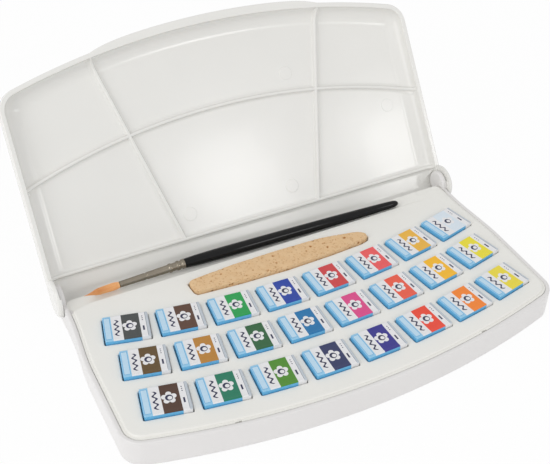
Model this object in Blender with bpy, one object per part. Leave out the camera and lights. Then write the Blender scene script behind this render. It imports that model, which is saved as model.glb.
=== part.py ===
"""Watercolour paint box: a hinged palette lid over a base that holds a tray of wrapped pans,
a brush and a strip of sponge.

Units are metres and +Z is up. The origin is the middle of the base's flat underside. +X runs to
the right along the box and +Y runs back towards the hinge. The lid is modelled shut, about its
hinge axis, and its object is then turned to the open angle.
"""
import math

import bmesh
import bpy
from mathutils import Matrix, Vector

# Clearances
GAP = 0.0003
OVERRUN = 0.002
OVERLAP = 0.0004

# Box outline, seen from above
BOX_WIDTH = 0.2220
BOX_DEPTH = 0.1244
FRONT_ARC_RADIUS = 0.3917
FRONT_CORNER_RADIUS = 0.0110
NARROWING_STARTS_BEFORE_HINGE = 0.0520
NARROWING_ENDS_BEFORE_HINGE = 0.0140

# Hinge and lid
HINGE_FROM_BACK = 0.0102
HINGE_BELOW_RIM = 0.0003
LID_RADIUS = 0.0093
LID_SKIN = 0.0015
LID_WALL = 0.0024
LID_EDGE_ROUND = 0.0014
LID_INNER_FILLET = 0.0055
LID_OPEN_DEG = 125.4
BARREL_BELOW_AXIS_DEG = 15.0
THUMB_LIP_SHARE = 0.56306
THUMB_LIP_DEPTH = 0.0020
THUMB_LIP_HEIGHT = 0.0035
THUMB_LIP_END_POWER = 8

# Ribs that part the palette into mixing wells, with the radial ribs' ends as shares of BOX_WIDTH
RIB_HEIGHT = 0.0022
RIB_FOOT = 0.0026
RIB_CREST = 0.0013
ARC_RIB_FROM_FRONT = 0.0441
BACK_RIB_BEFORE_HINGE = 0.0090
RADIAL_RIB_FRONT_SHARE = 0.28153
RADIAL_RIB_BACK_SHARE = 0.17207

# Base shell
BASE_HEIGHT = 0.0154
BASE_WALL = 0.0022
BASE_FLOOR = 0.0018
BASE_BOTTOM_ROUND = 0.0020
BASE_EAR_GAP = 0.0016
LEDGE_WIDTH = 0.0012
LEDGE_BELOW_RIM = 0.0015
SEAT_WALL = 0.0012
KNUCKLE_RADIUS = 0.0065
KNUCKLE_ARM_DEPTH = 0.0036
KNUCKLE_ARM_INSET = 0.0002
PIN_RADIUS = 0.0020
PIN_REACH = 0.0030

# Tray
TRAY_FLANGE_WIDTH = 0.0011
TRAY_FLANGE_THICKNESS = 0.0008
PLATEAU_RISE = 0.0010
PLATEAU_EDGE_ROUND = 0.0007
TRAY_BEFORE_HINGE = 0.0020
TRAY_BACK_CORNER_RADIUS = 0.0160
POCKET_WALL = 0.0009
NOTCH_SHARE = 0.28378
NOTCH_WIDTH = 0.0030

# Pans and their wrappers. The pitch is a share of BOX_WIDTH, and the rows' places from the front
# are shares of the depth that the sponge leaves
PANS_IN_A_ROW = 8
PAN_PITCH_SHARE = 0.114414
PAN_SPACE = 0.0040
FRONT_ROW_RADIUS = 0.4188
FRONT_ROW_SHARE = 0.25532
MIDDLE_ROW_SHARE = 0.54374
BACK_ROW_SHARE = 0.81678
ROW_SPACE = 0.0069
FAN_SHIFT = 0.0016
WRAPPER_HEIGHT = 0.0112
WRAPPER_PROUD = 0.0020
WRAPPER_FOIL = 0.0003
WRAPPER_EDGE = 0.0005
WRAPPER_SEAM_LENGTH = 0.0100
WRAPPER_SEAM_WIDTH = 0.0004
CUP_TAPER = 0.0006
CUP_WALL = 0.0011
CAKE_BELOW_RIM = 0.0012

# Sponge strip, in its own pocket
SPONGE_LENGTH = 0.0966
SPONGE_WIDTH = 0.0136
SPONGE_THICKNESS = 0.0066
SPONGE_PROUD = 0.0020
SPONGE_SIDE_GAP = 0.0004
SPONGE_MIDDLE_X = -0.0006
SPONGE_FRONT_BEFORE_HINGE = 0.0296

# Brush, lying a little askew in an open groove along the back of the tray
GROOVE_DEPTH = 0.0024
GROOVE_FLOOR = 0.0010
GROOVE_FILLET = 0.0018
GROOVE_LIP_ROUND = 0.0005
GROOVE_FRONT_BEFORE_HINGE = 0.0104
GROOVE_BEYOND_HANDLE = 0.0051
HANDLE_SHARE = 0.54685
HANDLE_DIAMETER = 0.0059
HANDLE_TENON_RADIUS = 0.0011
HANDLE_TENON_LENGTH = 0.0050
HANDLE_TIP_RADIUS = 0.0004
BRUSH_TIP_FROM_SIDE = 0.0132
HANDLE_START_BEFORE_HINGE = 0.0045
HANDLE_ASKEW_DEG = -1.6
FERRULE_ASKEW_DEG = 1.6
FERRULE_LENGTH = 0.0340
FERRULE_HANDLE_DIAMETER = 0.0043
FERRULE_MOUTH_DIAMETER = 0.0031
FERRULE_WALL = 0.0003
BEAD_HEIGHT = 0.00035
BEAD_HALF_WIDTH = 0.0009
CRIMP_HALF_WIDTH = 0.0006
HAIR_LENGTH = 0.0188
HAIR_BELLY_DIAMETER = 0.0039
HAIR_BACKING = 0.0008
STRAND_SPACING = 0.000172
STRAND_FILL_SHARE = 0.62
STRAND_THINNING_SHARE = 0.80
BUNDLE_EDGE_SHARE = 0.67

# Rows of shares, each of the size that its comment names
# Handle: place along HANDLE_LENGTH, then radius over half of HANDLE_DIAMETER
HANDLE_PROFILE_SHARES = [
    (0.00, 0.80), (0.04, 0.90), (0.10, 0.965), (0.20, 1.00), (0.35, 0.97), (0.50, 0.935),
    (0.65, 0.89), (0.78, 0.82), (0.88, 0.745), (0.945, 0.66), (0.975, 0.55), (0.992, 0.34),
]
# Ferrule: place of its raised rings along FERRULE_LENGTH, from the handle
FERRULE_BEAD_SHARES = [0.10, 0.22]
FERRULE_CRIMP_SHARE = 0.60
FERRULE_COLLAR_SHARE = 0.035
# Hair: place along HAIR_LENGTH, then radius over half of HAIR_BELLY_DIAMETER
HAIR_STATION_SHARES = [(0.0, 0.74), (0.22, 1.0), (0.62, 0.76), (1.0, 0.07)]
HAIR_SHORTEST_STRAND_SHARE = 0.60
# Sponge: outline along SPONGE_LENGTH and across SPONGE_WIDTH, from its middle front
SPONGE_OUTLINE_SHARES = [
    (-0.485, 0.19), (-0.25, 0.06), (0.0, 0.0), (0.25, 0.04), (0.44, 0.12), (0.485, 0.20),
    (0.50, 0.35), (0.495, 0.52), (0.46, 0.68), (0.36, 0.83), (0.25, 0.95), (0.0, 1.0),
    (-0.25, 0.98), (-0.48, 0.86), (-0.50, 0.80), (-0.495, 0.30),
]

# How finely round shapes are divided
FRONT_STEPS = 14
CORNER_STEPS = 6
NARROWING_STEPS = 8
EDGE_STEPS = 3
FILLET_STEPS = 4
BARREL_SIDES = 48
PIN_SIDES = 16
BRUSH_SIDES = 16
SMOOTH_UNDER_DEG = 32.0

# Finishes: colour as red, green and blue from 0 to 1, then roughness, then how metallic it is
WHITE_PLASTIC = ((0.86, 0.86, 0.84), 0.25, 0.0)
LID_PLASTIC = ((0.86, 0.86, 0.84), 0.20, 0.0)
TRAY_PLASTIC = ((0.85, 0.85, 0.82), 0.35, 0.0)
CUP_PLASTIC = ((0.90, 0.90, 0.90), 0.40, 0.0)
BLACK_LACQUER = ((0.012, 0.012, 0.013), 0.12, 0.0)
NICKEL = ((0.72, 0.70, 0.66), 0.20, 1.0)
ORANGE_HAIR = ((0.78, 0.30, 0.06), 0.50, 0.0)
SPONGE_TAN = ((0.62, 0.42, 0.22), 0.95, 0.0)
PRINT_ROUGHNESS = 0.35
PAN_COLOURS = [
    [(0.06, 0.07, 0.07), (0.09, 0.04, 0.02), (0.01, 0.34, 0.07), (0.01, 0.05, 0.38),
     (0.64, 0.05, 0.06), (0.85, 0.10, 0.09), (0.86, 0.45, 0.05), (0.88, 0.88, 0.87)],
    [(0.11, 0.06, 0.01), (0.48, 0.22, 0.03), (0.01, 0.11, 0.04), (0.01, 0.17, 0.43),
     (0.75, 0.06, 0.26), (0.86, 0.10, 0.06), (0.93, 0.48, 0.01), (0.78, 0.66, 0.03)],
    [(0.07, 0.03, 0.01), (0.01, 0.19, 0.10), (0.07, 0.26, 0.01), (0.02, 0.03, 0.11),
     (0.03, 0.02, 0.26), (0.86, 0.06, 0.03), (0.94, 0.24, 0.02), (0.78, 0.63, 0.04)],
]

# Places worked out from the sizes above
HALF_WIDTH = BOX_WIDTH / 2
FRONT_Y = -BOX_DEPTH / 2
BACK_Y = BOX_DEPTH / 2
HINGE_Y = BACK_Y - HINGE_FROM_BACK
HINGE_Z = BASE_HEIGHT - HINGE_BELOW_RIM
LID_TOP = HINGE_Z + LID_RADIUS
LID_RIM = BASE_HEIGHT + GAP
PALETTE_Z = LID_TOP - LID_SKIN
EAR_INNER_X = HALF_WIDTH - LID_WALL
BACK_HALF_WIDTH = EAR_INNER_X - BASE_EAR_GAP
NARROWING_START_Y = HINGE_Y - NARROWING_STARTS_BEFORE_HINGE
NARROWING_END_Y = HINGE_Y - NARROWING_ENDS_BEFORE_HINGE
THUMB_LIP_LENGTH = BOX_WIDTH * THUMB_LIP_SHARE
RADIAL_RIB_FRONT_X = BOX_WIDTH * RADIAL_RIB_FRONT_SHARE
RADIAL_RIB_BACK_X = BOX_WIDTH * RADIAL_RIB_BACK_SHARE
NOTCH_X = BOX_WIDTH * NOTCH_SHARE
LEDGE_Z = BASE_HEIGHT - LEDGE_BELOW_RIM
FLANGE_Z = LEDGE_Z + GAP
FLANGE_TOP = FLANGE_Z + TRAY_FLANGE_THICKNESS
PLATEAU_Z = FLANGE_TOP + PLATEAU_RISE
TRAY_BACK_Y = HINGE_Y - TRAY_BEFORE_HINGE
TRAY_INSET = BASE_WALL + GAP
GROOVE_Z = PLATEAU_Z - GROOVE_DEPTH
GROOVE_UNDERSIDE = GROOVE_Z - GROOVE_FLOOR
GROOVE_FRONT_Y = HINGE_Y - GROOVE_FRONT_BEFORE_HINGE
ROWS_DEPTH = BOX_DEPTH - HINGE_FROM_BACK - SPONGE_FRONT_BEFORE_HINGE
PAN_PITCH = BOX_WIDTH * PAN_PITCH_SHARE
WRAPPER_LENGTH = PAN_PITCH - PAN_SPACE
WRAPPER_DEPTH = ROWS_DEPTH * (BACK_ROW_SHARE - MIDDLE_ROW_SHARE) - ROW_SPACE
WRAPPER_Z = PLATEAU_Z + WRAPPER_PROUD - WRAPPER_HEIGHT
HANDLE_LENGTH = BOX_WIDTH * HANDLE_SHARE
HANDLE_START_X = BRUSH_TIP_FROM_SIDE + HAIR_LENGTH + FERRULE_LENGTH - HALF_WIDTH
GROOVE_RIGHT_END = HANDLE_START_X + HANDLE_LENGTH + GROOVE_BEYOND_HANDLE
BRUSH_Z = GROOVE_Z + GAP + HANDLE_DIAMETER / 2
SPONGE_Z = PLATEAU_Z + SPONGE_PROUD - SPONGE_THICKNESS
SPONGE_FRONT_Y = HINGE_Y - SPONGE_FRONT_BEFORE_HINGE


def clear_scene():
    """Remove whatever the file holds, such as Blender's default cube."""
    for item in list(bpy.data.objects):
        bpy.data.objects.remove(item, do_unlink=True)


def material(name, finish):
    """One Principled material from a finish."""
    colour, roughness, metallic = finish
    made = bpy.data.materials.new(name)
    made.use_nodes = True
    shader = made.node_tree.nodes["Principled BSDF"]
    shader.inputs["Base Color"].default_value = (*colour, 1.0)
    shader.inputs["Roughness"].default_value = roughness
    shader.inputs["Metallic"].default_value = metallic
    made.diffuse_color = (*colour, 1.0)
    return made


def to_mesh(bm, name):
    """Turn a bmesh into a mesh with its faces pointing out and its round parts smooth."""
    bmesh.ops.recalc_face_normals(bm, faces=bm.faces)
    mesh = bpy.data.meshes.new(name)
    bm.to_mesh(mesh)
    bm.free()
    mesh.shade_smooth()
    mesh.set_sharp_from_angle(angle=math.radians(SMOOTH_UNDER_DEG))
    return mesh


def place(name, mesh, finish=None):
    """Put a mesh in the scene as an object."""
    made = bpy.data.objects.new(name, mesh)
    bpy.context.scene.collection.objects.link(made)
    if finish:
        made.data.materials.append(finish)
    return made


def combine(target, tool, operation="DIFFERENCE"):
    """Cut one object with another, or join or intersect them, and remove the tool."""
    step = target.modifiers.new(operation, "BOOLEAN")
    step.operation = operation
    step.solver = "EXACT"
    step.object = tool
    graph = bpy.context.evaluated_depsgraph_get()
    result = bpy.data.meshes.new_from_object(target.evaluated_get(graph))
    target.modifiers.remove(step)
    target.data = result
    bpy.data.objects.remove(tool, do_unlink=True)
    return target


def smoothed(target):
    """Shade an object's round parts smooth again after its booleans."""
    target.data.shade_smooth()
    target.data.set_sharp_from_angle(angle=math.radians(SMOOTH_UNDER_DEG))
    return target


def loft_into(bm, rings):
    """Skin a stack of rings of equal length and cap both ends."""
    levels = [[bm.verts.new(point) for point in ring] for ring in rings]
    for low, high in zip(levels, levels[1:]):
        for index in range(len(low)):
            after = (index + 1) % len(low)
            bm.faces.new((low[index], low[after], high[after], high[index]))
    bm.faces.new(list(reversed(levels[0])))
    bm.faces.new(levels[-1])


def loft(name, rings):
    """An object skinned over a stack of rings."""
    bm = bmesh.new()
    loft_into(bm, rings)
    return place(name, to_mesh(bm, name))


def ring_at(points, height):
    """Lift flat points to one height."""
    return [Vector((x, y, height)) for x, y in points]


def rectangle(length, depth):
    """The corners of a rectangle about the origin, anticlockwise."""
    return [(-length / 2, -depth / 2), (length / 2, -depth / 2),
            (length / 2, depth / 2), (-length / 2, depth / 2)]


def block(name, low, high):
    """A box between two corners."""
    corners = [(low[0], low[1]), (high[0], low[1]), (high[0], high[1]), (low[0], high[1])]
    return loft(name, [ring_at(corners, low[2]), ring_at(corners, high[2])])


def along_x(name, profile, start, end):
    """A profile of (y, z) points carried along X between two places."""
    rings = [[Vector((x, y, z)) for y, z in profile] for x in (start, end)]
    return loft(name, rings)


def turned(name, profile, sides):
    """A solid turned about X from (x, radius) points, with flat ends."""
    rings = []
    for x, radius in profile:
        angles = [2 * math.pi * side / sides for side in range(sides)]
        rings.append([Vector((x, radius * math.cos(a), radius * math.sin(a))) for a in angles])
    return loft(name, rings)


def disc_on_hinge(name, radius, start, end, sides=BARREL_SIDES):
    """A cylinder about the hinge axis."""
    made = turned(name, [(start, radius), (end, radius)], sides)
    made.data.transform(Matrix.Translation((0.0, HINGE_Y, HINGE_Z)))
    return made


def offset(points, distance):
    """Move a closed, anticlockwise outline outward by a distance."""
    moved = []
    count = len(points)
    for index in range(count):
        here = Vector(points[index])
        back = (here - Vector(points[index - 1])).normalized()
        ahead = (Vector(points[(index + 1) % count]) - here).normalized()
        normal = Vector((back.y + ahead.y, -back.x - ahead.x)).normalized()
        stretch = normal.dot(Vector((ahead.y, -ahead.x)))
        corner = here + normal * (distance / stretch)
        moved.append((corner.x, corner.y))
    return moved


def quarter(steps):
    """Sine and cosine over a quarter turn, for rounded edges."""
    angles = [math.pi / 2 * step / steps for step in range(steps + 1)]
    return [(math.sin(angle), math.cos(angle)) for angle in angles]


def base_half_width(y):
    """Half the base's width, which eases in towards the hinge."""
    share = (y - NARROWING_START_Y) / (NARROWING_END_Y - NARROWING_START_Y)
    share = min(max(share, 0.0), 1.0)
    eased = share * share * (3 - 2 * share)
    return HALF_WIDTH + (BACK_HALF_WIDTH - HALF_WIDTH) * eased


def plan(inset, back_y, back_round=0.0, narrows=True):
    """The box's outline from above, drawn in by an inset, anticlockwise from the front's middle."""
    centre_y = FRONT_Y + FRONT_ARC_RADIUS
    corner_x = HALF_WIDTH - FRONT_CORNER_RADIUS
    reach = FRONT_ARC_RADIUS - FRONT_CORNER_RADIUS
    corner_y = centre_y - math.sqrt(reach * reach - corner_x * corner_x)
    spread = math.asin(corner_x / reach)
    right = []
    for step in range(FRONT_STEPS):
        angle = spread * step / FRONT_STEPS
        radius = FRONT_ARC_RADIUS - inset
        right.append((radius * math.sin(angle), centre_y - radius * math.cos(angle)))
    for step in range(CORNER_STEPS + 1):
        angle = spread - math.pi / 2 + (math.pi / 2 - spread) * step / CORNER_STEPS
        radius = FRONT_CORNER_RADIUS - inset
        right.append((corner_x + radius * math.cos(angle), corner_y + radius * math.sin(angle)))
    for step in range(NARROWING_STEPS + 1):
        y = NARROWING_START_Y + (NARROWING_END_Y - NARROWING_START_Y) * step / NARROWING_STEPS
        half = base_half_width(y) if narrows else HALF_WIDTH
        if y < back_y - back_round:
            right.append((half - inset, y))
    half = BACK_HALF_WIDTH if narrows else HALF_WIDTH
    if back_round:
        for step in range(CORNER_STEPS + 1):
            angle = math.pi / 2 * step / CORNER_STEPS
            right.append((half - inset - back_round + back_round * math.cos(angle),
                          back_y - back_round + back_round * math.sin(angle)))
    else:
        right.append((half - inset, back_y))
    left = [(-x, y) for x, y in reversed(right[1:])]
    return right + left


def base_shell(finish):
    """The lower case: side walls with a ledge, a seat for the lid's barrel and hinge knuckles."""
    rings = []
    for sine, cosine in quarter(EDGE_STEPS):
        inset = BASE_BOTTOM_ROUND * (1 - sine)
        rings.append(ring_at(plan(inset, BACK_Y - inset), BASE_BOTTOM_ROUND * (1 - cosine)))
    rings.append(ring_at(plan(0.0, BACK_Y), BASE_HEIGHT))
    shell = loft("base_shell", rings)

    seat_radius = LID_RADIUS + GAP
    side = HALF_WIDTH + OVERRUN
    below = BASE_WALL + LEDGE_WIDTH
    cavity = loft("cavity", [
        ring_at(plan(below, HINGE_Y), BASE_FLOOR),
        ring_at(plan(below, HINGE_Y), LEDGE_Z),
    ])
    rim_cut = loft("rim_cut", [
        ring_at(plan(BASE_WALL, HINGE_Y), LEDGE_Z),
        ring_at(plan(BASE_WALL, HINGE_Y), BASE_HEIGHT + OVERRUN),
    ])
    wall_line = disc_on_hinge("wall_line", seat_radius + SEAT_WALL, -side, side)
    combine(cavity, wall_line)
    combine(shell, cavity)
    combine(shell, rim_cut)
    combine(shell, disc_on_hinge("seat", seat_radius, -side, side))

    wall_top = GROOVE_UNDERSIDE - GAP
    inner_x = BACK_HALF_WIDTH - BASE_WALL
    combine(shell, block("wall_top_cut",
                         (-inner_x, HINGE_Y - seat_radius - SEAT_WALL - OVERRUN, wall_top),
                         (inner_x, HINGE_Y, BASE_HEIGHT + OVERRUN)))

    slope = block("slope_cut", (-side, -BOX_DEPTH, -OVERRUN), (side, 0.0, seat_radius))
    turn = Matrix.Rotation(-math.radians(LID_OPEN_DEG), 4, "X")
    slope.data.transform(Matrix.Translation((0.0, HINGE_Y, HINGE_Z)) @ turn)
    combine(shell, slope)

    arm_front = HINGE_Y - seat_radius - OVERRUN
    for side_sign in (-1, 1):
        near, far = sorted((side_sign * inner_x, side_sign * (EAR_INNER_X - GAP)))
        knuckle = disc_on_hinge("knuckle", KNUCKLE_RADIUS, near, far)
        arm_x = sorted((side_sign * (inner_x + KNUCKLE_ARM_INSET),
                        side_sign * (BACK_HALF_WIDTH - KNUCKLE_ARM_INSET)))
        arm = block("arm", (arm_x[0], arm_front, HINGE_Z - KNUCKLE_ARM_DEPTH),
                    (arm_x[1], HINGE_Y, HINGE_Z))
        combine(knuckle, arm, "UNION")
        combine(shell, knuckle, "UNION")
        ends = sorted((side_sign * (inner_x - OVERRUN), side_sign * (HALF_WIDTH + OVERRUN)))
        combine(shell, disc_on_hinge("pin_hole", PIN_RADIUS + GAP, *ends, sides=PIN_SIDES))
    shell.data.materials.clear()
    shell.data.materials.append(finish)
    return smoothed(shell)


def pan_places():
    """Yield row, column, x, y and turn of each pan: row 0 is the back row."""
    centre_y = FRONT_Y + ROWS_DEPTH * FRONT_ROW_SHARE + FRONT_ROW_RADIUS
    for row, share in enumerate((BACK_ROW_SHARE, MIDDLE_ROW_SHARE, FRONT_ROW_SHARE)):
        radius = FRONT_ROW_RADIUS - ROWS_DEPTH * (share - FRONT_ROW_SHARE)
        for column in range(PANS_IN_A_ROW):
            along = (column - (PANS_IN_A_ROW - 1) / 2) * PAN_PITCH + FAN_SHIFT
            angle = along / radius
            yield row, column, radius * math.sin(angle), centre_y - radius * math.cos(angle), angle


def boxes_at_pans(name, length, depth, low, high):
    """One box at each pan's place, all in one object."""
    bm = bmesh.new()
    for _, _, x, y, angle in pan_places():
        turn = Matrix.Translation((x, y, 0.0)) @ Matrix.Rotation(angle, 4, "Z")
        corners = rectangle(length, depth)
        loft_into(bm, [[turn @ point for point in ring_at(corners, z)] for z in (low, high)])
    return place(name, to_mesh(bm, name))


def sponge_outline(clearance=0.0):
    """The strip's outline from above, with a clearance all round."""
    points = [(SPONGE_MIDDLE_X + along * SPONGE_LENGTH, SPONGE_FRONT_Y + across * SPONGE_WIDTH)
              for along, across in SPONGE_OUTLINE_SHARES]
    return offset(points, clearance)


def groove_profile(bottom):
    """The groove's cutting profile as (y, z): a fillet at its front, open at its back."""
    back = TRAY_BACK_Y + OVERRUN
    top = PLATEAU_Z + OVERRUN
    points = [(back, bottom)]
    for sine, cosine in quarter(FILLET_STEPS):
        points.append((GROOVE_FRONT_Y + GROOVE_FILLET * (1 - sine),
                       bottom + GROOVE_FILLET * (1 - cosine)))
    points.append((GROOVE_FRONT_Y - GROOVE_LIP_ROUND, PLATEAU_Z))
    points.append((GROOVE_FRONT_Y - GROOVE_LIP_ROUND, top))
    points.append((back, top))
    return points


def pan_tray(finish):
    """The inner tray: a raised plateau with pockets for pans and sponge and the brush groove."""
    plateau_inset = TRAY_INSET + TRAY_FLANGE_WIDTH

    def ring(inset, height, back):
        corner = TRAY_BACK_CORNER_RADIUS - inset
        return ring_at(plan(inset, back, corner), height)

    rings = [
        ring(TRAY_INSET, FLANGE_Z, TRAY_BACK_Y),
        ring(TRAY_INSET, FLANGE_TOP, TRAY_BACK_Y),
        ring(plateau_inset, FLANGE_TOP, TRAY_BACK_Y - GAP),
    ]
    for sine, cosine in quarter(EDGE_STEPS):
        inset = plateau_inset + PLATEAU_EDGE_ROUND * (1 - cosine)
        height = PLATEAU_Z - PLATEAU_EDGE_ROUND * (1 - sine)
        rings.append(ring(inset, height, TRAY_BACK_Y - GAP - PLATEAU_EDGE_ROUND * (1 - cosine)))
    tray = loft("pan_tray", rings)

    joint_z = FLANGE_Z + OVERLAP
    well_length = WRAPPER_LENGTH + 2 * GAP
    well_depth = WRAPPER_DEPTH + 2 * GAP
    well_floor = WRAPPER_Z - GAP
    combine(tray, boxes_at_pans("pockets", well_length + 2 * POCKET_WALL,
                                well_depth + 2 * POCKET_WALL,
                                well_floor - POCKET_WALL, joint_z), "UNION")
    sponge_floor = SPONGE_Z - GAP
    around = sponge_outline(SPONGE_SIDE_GAP + POCKET_WALL)
    combine(tray, loft("sponge_pocket", [ring_at(around, sponge_floor - POCKET_WALL),
                                         ring_at(around, joint_z)]), "UNION")

    side_x = BACK_HALF_WIDTH + OVERRUN
    under = block("groove_floor",
                  (-side_x, GROOVE_FRONT_Y - POCKET_WALL, GROOVE_UNDERSIDE),
                  (GROOVE_RIGHT_END + POCKET_WALL, TRAY_BACK_Y + OVERRUN, joint_z))
    clear_of_ledge = TRAY_INSET + LEDGE_WIDTH
    limits = plan(clear_of_ledge, TRAY_BACK_Y - GAP, TRAY_BACK_CORNER_RADIUS - clear_of_ledge)
    combine(under, loft("limits", [ring_at(limits, GROOVE_UNDERSIDE - OVERRUN),
                                   ring_at(limits, PLATEAU_Z)]), "INTERSECT")
    combine(tray, under, "UNION")

    top = PLATEAU_Z + OVERRUN
    combine(tray, boxes_at_pans("wells", well_length, well_depth, well_floor, top))
    inside = sponge_outline(SPONGE_SIDE_GAP)
    combine(tray, loft("sponge_well", [ring_at(inside, sponge_floor), ring_at(inside, top)]))
    combine(tray, along_x("groove", groove_profile(GROOVE_Z), -side_x, GROOVE_RIGHT_END))

    for side_sign in (-1, 1):
        x = side_sign * NOTCH_X
        centre_y = FRONT_Y + FRONT_ARC_RADIUS
        reach = FRONT_ARC_RADIUS - TRAY_INSET
        edge_y = centre_y - math.sqrt(reach * reach - x * x)
        combine(tray, block("notch",
                            (x - NOTCH_WIDTH / 2, edge_y - OVERRUN, FLANGE_Z - OVERRUN),
                            (x + NOTCH_WIDTH / 2, edge_y + TRAY_FLANGE_WIDTH / 2, top)))
    tray.data.materials.clear()
    tray.data.materials.append(finish)
    return smoothed(tray)


def lid_rings(inset, low, high, edge_round, back_y):
    """Rings of the lid's plan from a low to a high level, with the top edge rounded."""
    rings = [ring_at(plan(inset, back_y, narrows=False), low)]
    for sine, cosine in quarter(FILLET_STEPS):
        drawn_in = inset + edge_round * (1 - cosine)
        height = high - edge_round * (1 - sine)
        rings.append(ring_at(plan(drawn_in, back_y, narrows=False), height))
    return rings


def rib_solid(name, path):
    """A rib along a path on the palette: wide at its foot, narrow at its crest."""
    bm = bmesh.new()
    rings = []
    for index, point in enumerate(path):
        here = Vector(point)
        before = Vector(path[max(index - 1, 0)])
        after = Vector(path[min(index + 1, len(path) - 1)])
        ahead = (after - before).normalized()
        across = Vector((-ahead.y, ahead.x))
        ring = []
        for half, z in ((RIB_FOOT / 2, PALETTE_Z + OVERLAP), (RIB_FOOT / 2, PALETTE_Z),
                        (RIB_CREST / 2, PALETTE_Z - RIB_HEIGHT)):
            ring.append((here + across * half, z))
        for half, z in ((RIB_CREST / 2, PALETTE_Z - RIB_HEIGHT), (RIB_FOOT / 2, PALETTE_Z),
                        (RIB_FOOT / 2, PALETTE_Z + OVERLAP)):
            ring.append((here - across * half, z))
        rings.append([Vector((spot.x, spot.y, z)) for spot, z in ring])
    loft_into(bm, rings)
    return place(name, to_mesh(bm, name))


def add_ribs(lid):
    """The arc rib, the two radial ribs and the back rib, each trimmed to the lid's inside."""
    centre_y = FRONT_Y + FRONT_ARC_RADIUS
    radius = FRONT_ARC_RADIUS - ARC_RIB_FROM_FRONT
    wall_x = EAR_INNER_X + LID_WALL / 2
    spread = math.asin(wall_x / radius)
    arc = []
    for step in range(2 * FRONT_STEPS + 1):
        angle = spread * (step / FRONT_STEPS - 1)
        arc.append((radius * math.sin(angle), centre_y - radius * math.cos(angle)))
    combine(lid, rib_solid("arc_rib", arc), "UNION")

    back_rib_y = HINGE_Y - BACK_RIB_BEFORE_HINGE
    combine(lid, rib_solid("back_rib", [(-wall_x, back_rib_y), (wall_x, back_rib_y)]), "UNION")

    reach = FRONT_ARC_RADIUS - LID_WALL / 2
    front_y = centre_y - math.sqrt(reach * reach - RADIAL_RIB_FRONT_X * RADIAL_RIB_FRONT_X)
    for side_sign in (-1, 1):
        path = [(side_sign * RADIAL_RIB_FRONT_X, front_y),
                (side_sign * RADIAL_RIB_BACK_X, back_rib_y)]
        combine(lid, rib_solid("radial_rib", path), "UNION")


def thumb_lip():
    """The lip on the lid's front edge, a crescent that follows the front arc."""
    centre_y = FRONT_Y + FRONT_ARC_RADIUS
    spread = math.asin(THUMB_LIP_LENGTH / 2 / FRONT_ARC_RADIUS)
    outer = []
    inner = []
    for step in range(FRONT_STEPS + 1):
        share = 2 * step / FRONT_STEPS - 1
        angle = spread * share
        proud = THUMB_LIP_DEPTH * (1 - abs(share) ** THUMB_LIP_END_POWER)
        out = FRONT_ARC_RADIUS + proud
        outer.append((out * math.sin(angle), centre_y - out * math.cos(angle)))
        within = FRONT_ARC_RADIUS - LID_WALL / 2
        inner.append((within * math.sin(angle), centre_y - within * math.cos(angle)))
    points = outer + list(reversed(inner))
    top = LID_RIM + THUMB_LIP_HEIGHT
    upper = [Vector((x, y, top)) for x, y in offset(points, -LID_WALL / 4)]
    return loft("thumb_lip", [ring_at(points, LID_RIM), ring_at(points, top - LID_WALL / 2), upper])


def palette_lid(finish):
    """The lid, whose inside is the mixing palette, with a round back, ears and hinge pins."""
    lid = loft("palette_lid", lid_rings(0.0, LID_RIM, LID_TOP, LID_EDGE_ROUND, HINGE_Y))
    profile = []
    for sine, cosine in quarter(FILLET_STEPS):
        profile.append((-HALF_WIDTH + LID_EDGE_ROUND * (1 - cosine),
                        LID_RADIUS - LID_EDGE_ROUND * (1 - sine)))
    profile = profile + [(-x, radius) for x, radius in reversed(profile)]
    barrel = turned("barrel", profile, BARREL_SIDES)
    barrel.data.transform(Matrix.Translation((0.0, HINGE_Y, HINGE_Z)))
    combine(lid, barrel, "UNION")
    combine(lid, thumb_lip(), "UNION")

    hollow = loft("hollow", lid_rings(LID_WALL, HINGE_Z - LID_RADIUS, PALETTE_Z,
                                      LID_INNER_FILLET, HINGE_Y))
    combine(lid, hollow)
    inner = disc_on_hinge("inner", LID_RADIUS - LID_SKIN, -EAR_INNER_X, EAR_INNER_X)
    combine(lid, inner)
    reach = 2 * LID_RADIUS
    low = math.radians(-BARREL_BELOW_AXIS_DEG)
    wedge = [(0.0, 0.0), (-reach, 0.0), (-reach, -reach), (reach, -reach),
             (reach * math.cos(low), reach * math.sin(low))]
    wedge = [(HINGE_Y + y, HINGE_Z + z) for y, z in wedge]
    combine(lid, along_x("wedge", wedge, -EAR_INNER_X, EAR_INNER_X))
    add_ribs(lid)
    for side_sign in (-1, 1):
        ends = sorted((side_sign * (EAR_INNER_X + LID_WALL / 2),
                       side_sign * (EAR_INNER_X - PIN_REACH)))
        combine(lid, disc_on_hinge("pin", PIN_RADIUS, *ends, sides=PIN_SIDES), "UNION")

    lid.data.transform(Matrix.Translation((0.0, -HINGE_Y, -HINGE_Z)))
    lid.location = (0.0, HINGE_Y, HINGE_Z)
    lid.rotation_euler = (-math.radians(LID_OPEN_DEG), 0.0, 0.0)
    lid.data.materials.clear()
    lid.data.materials.append(finish)
    return smoothed(lid)


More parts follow.
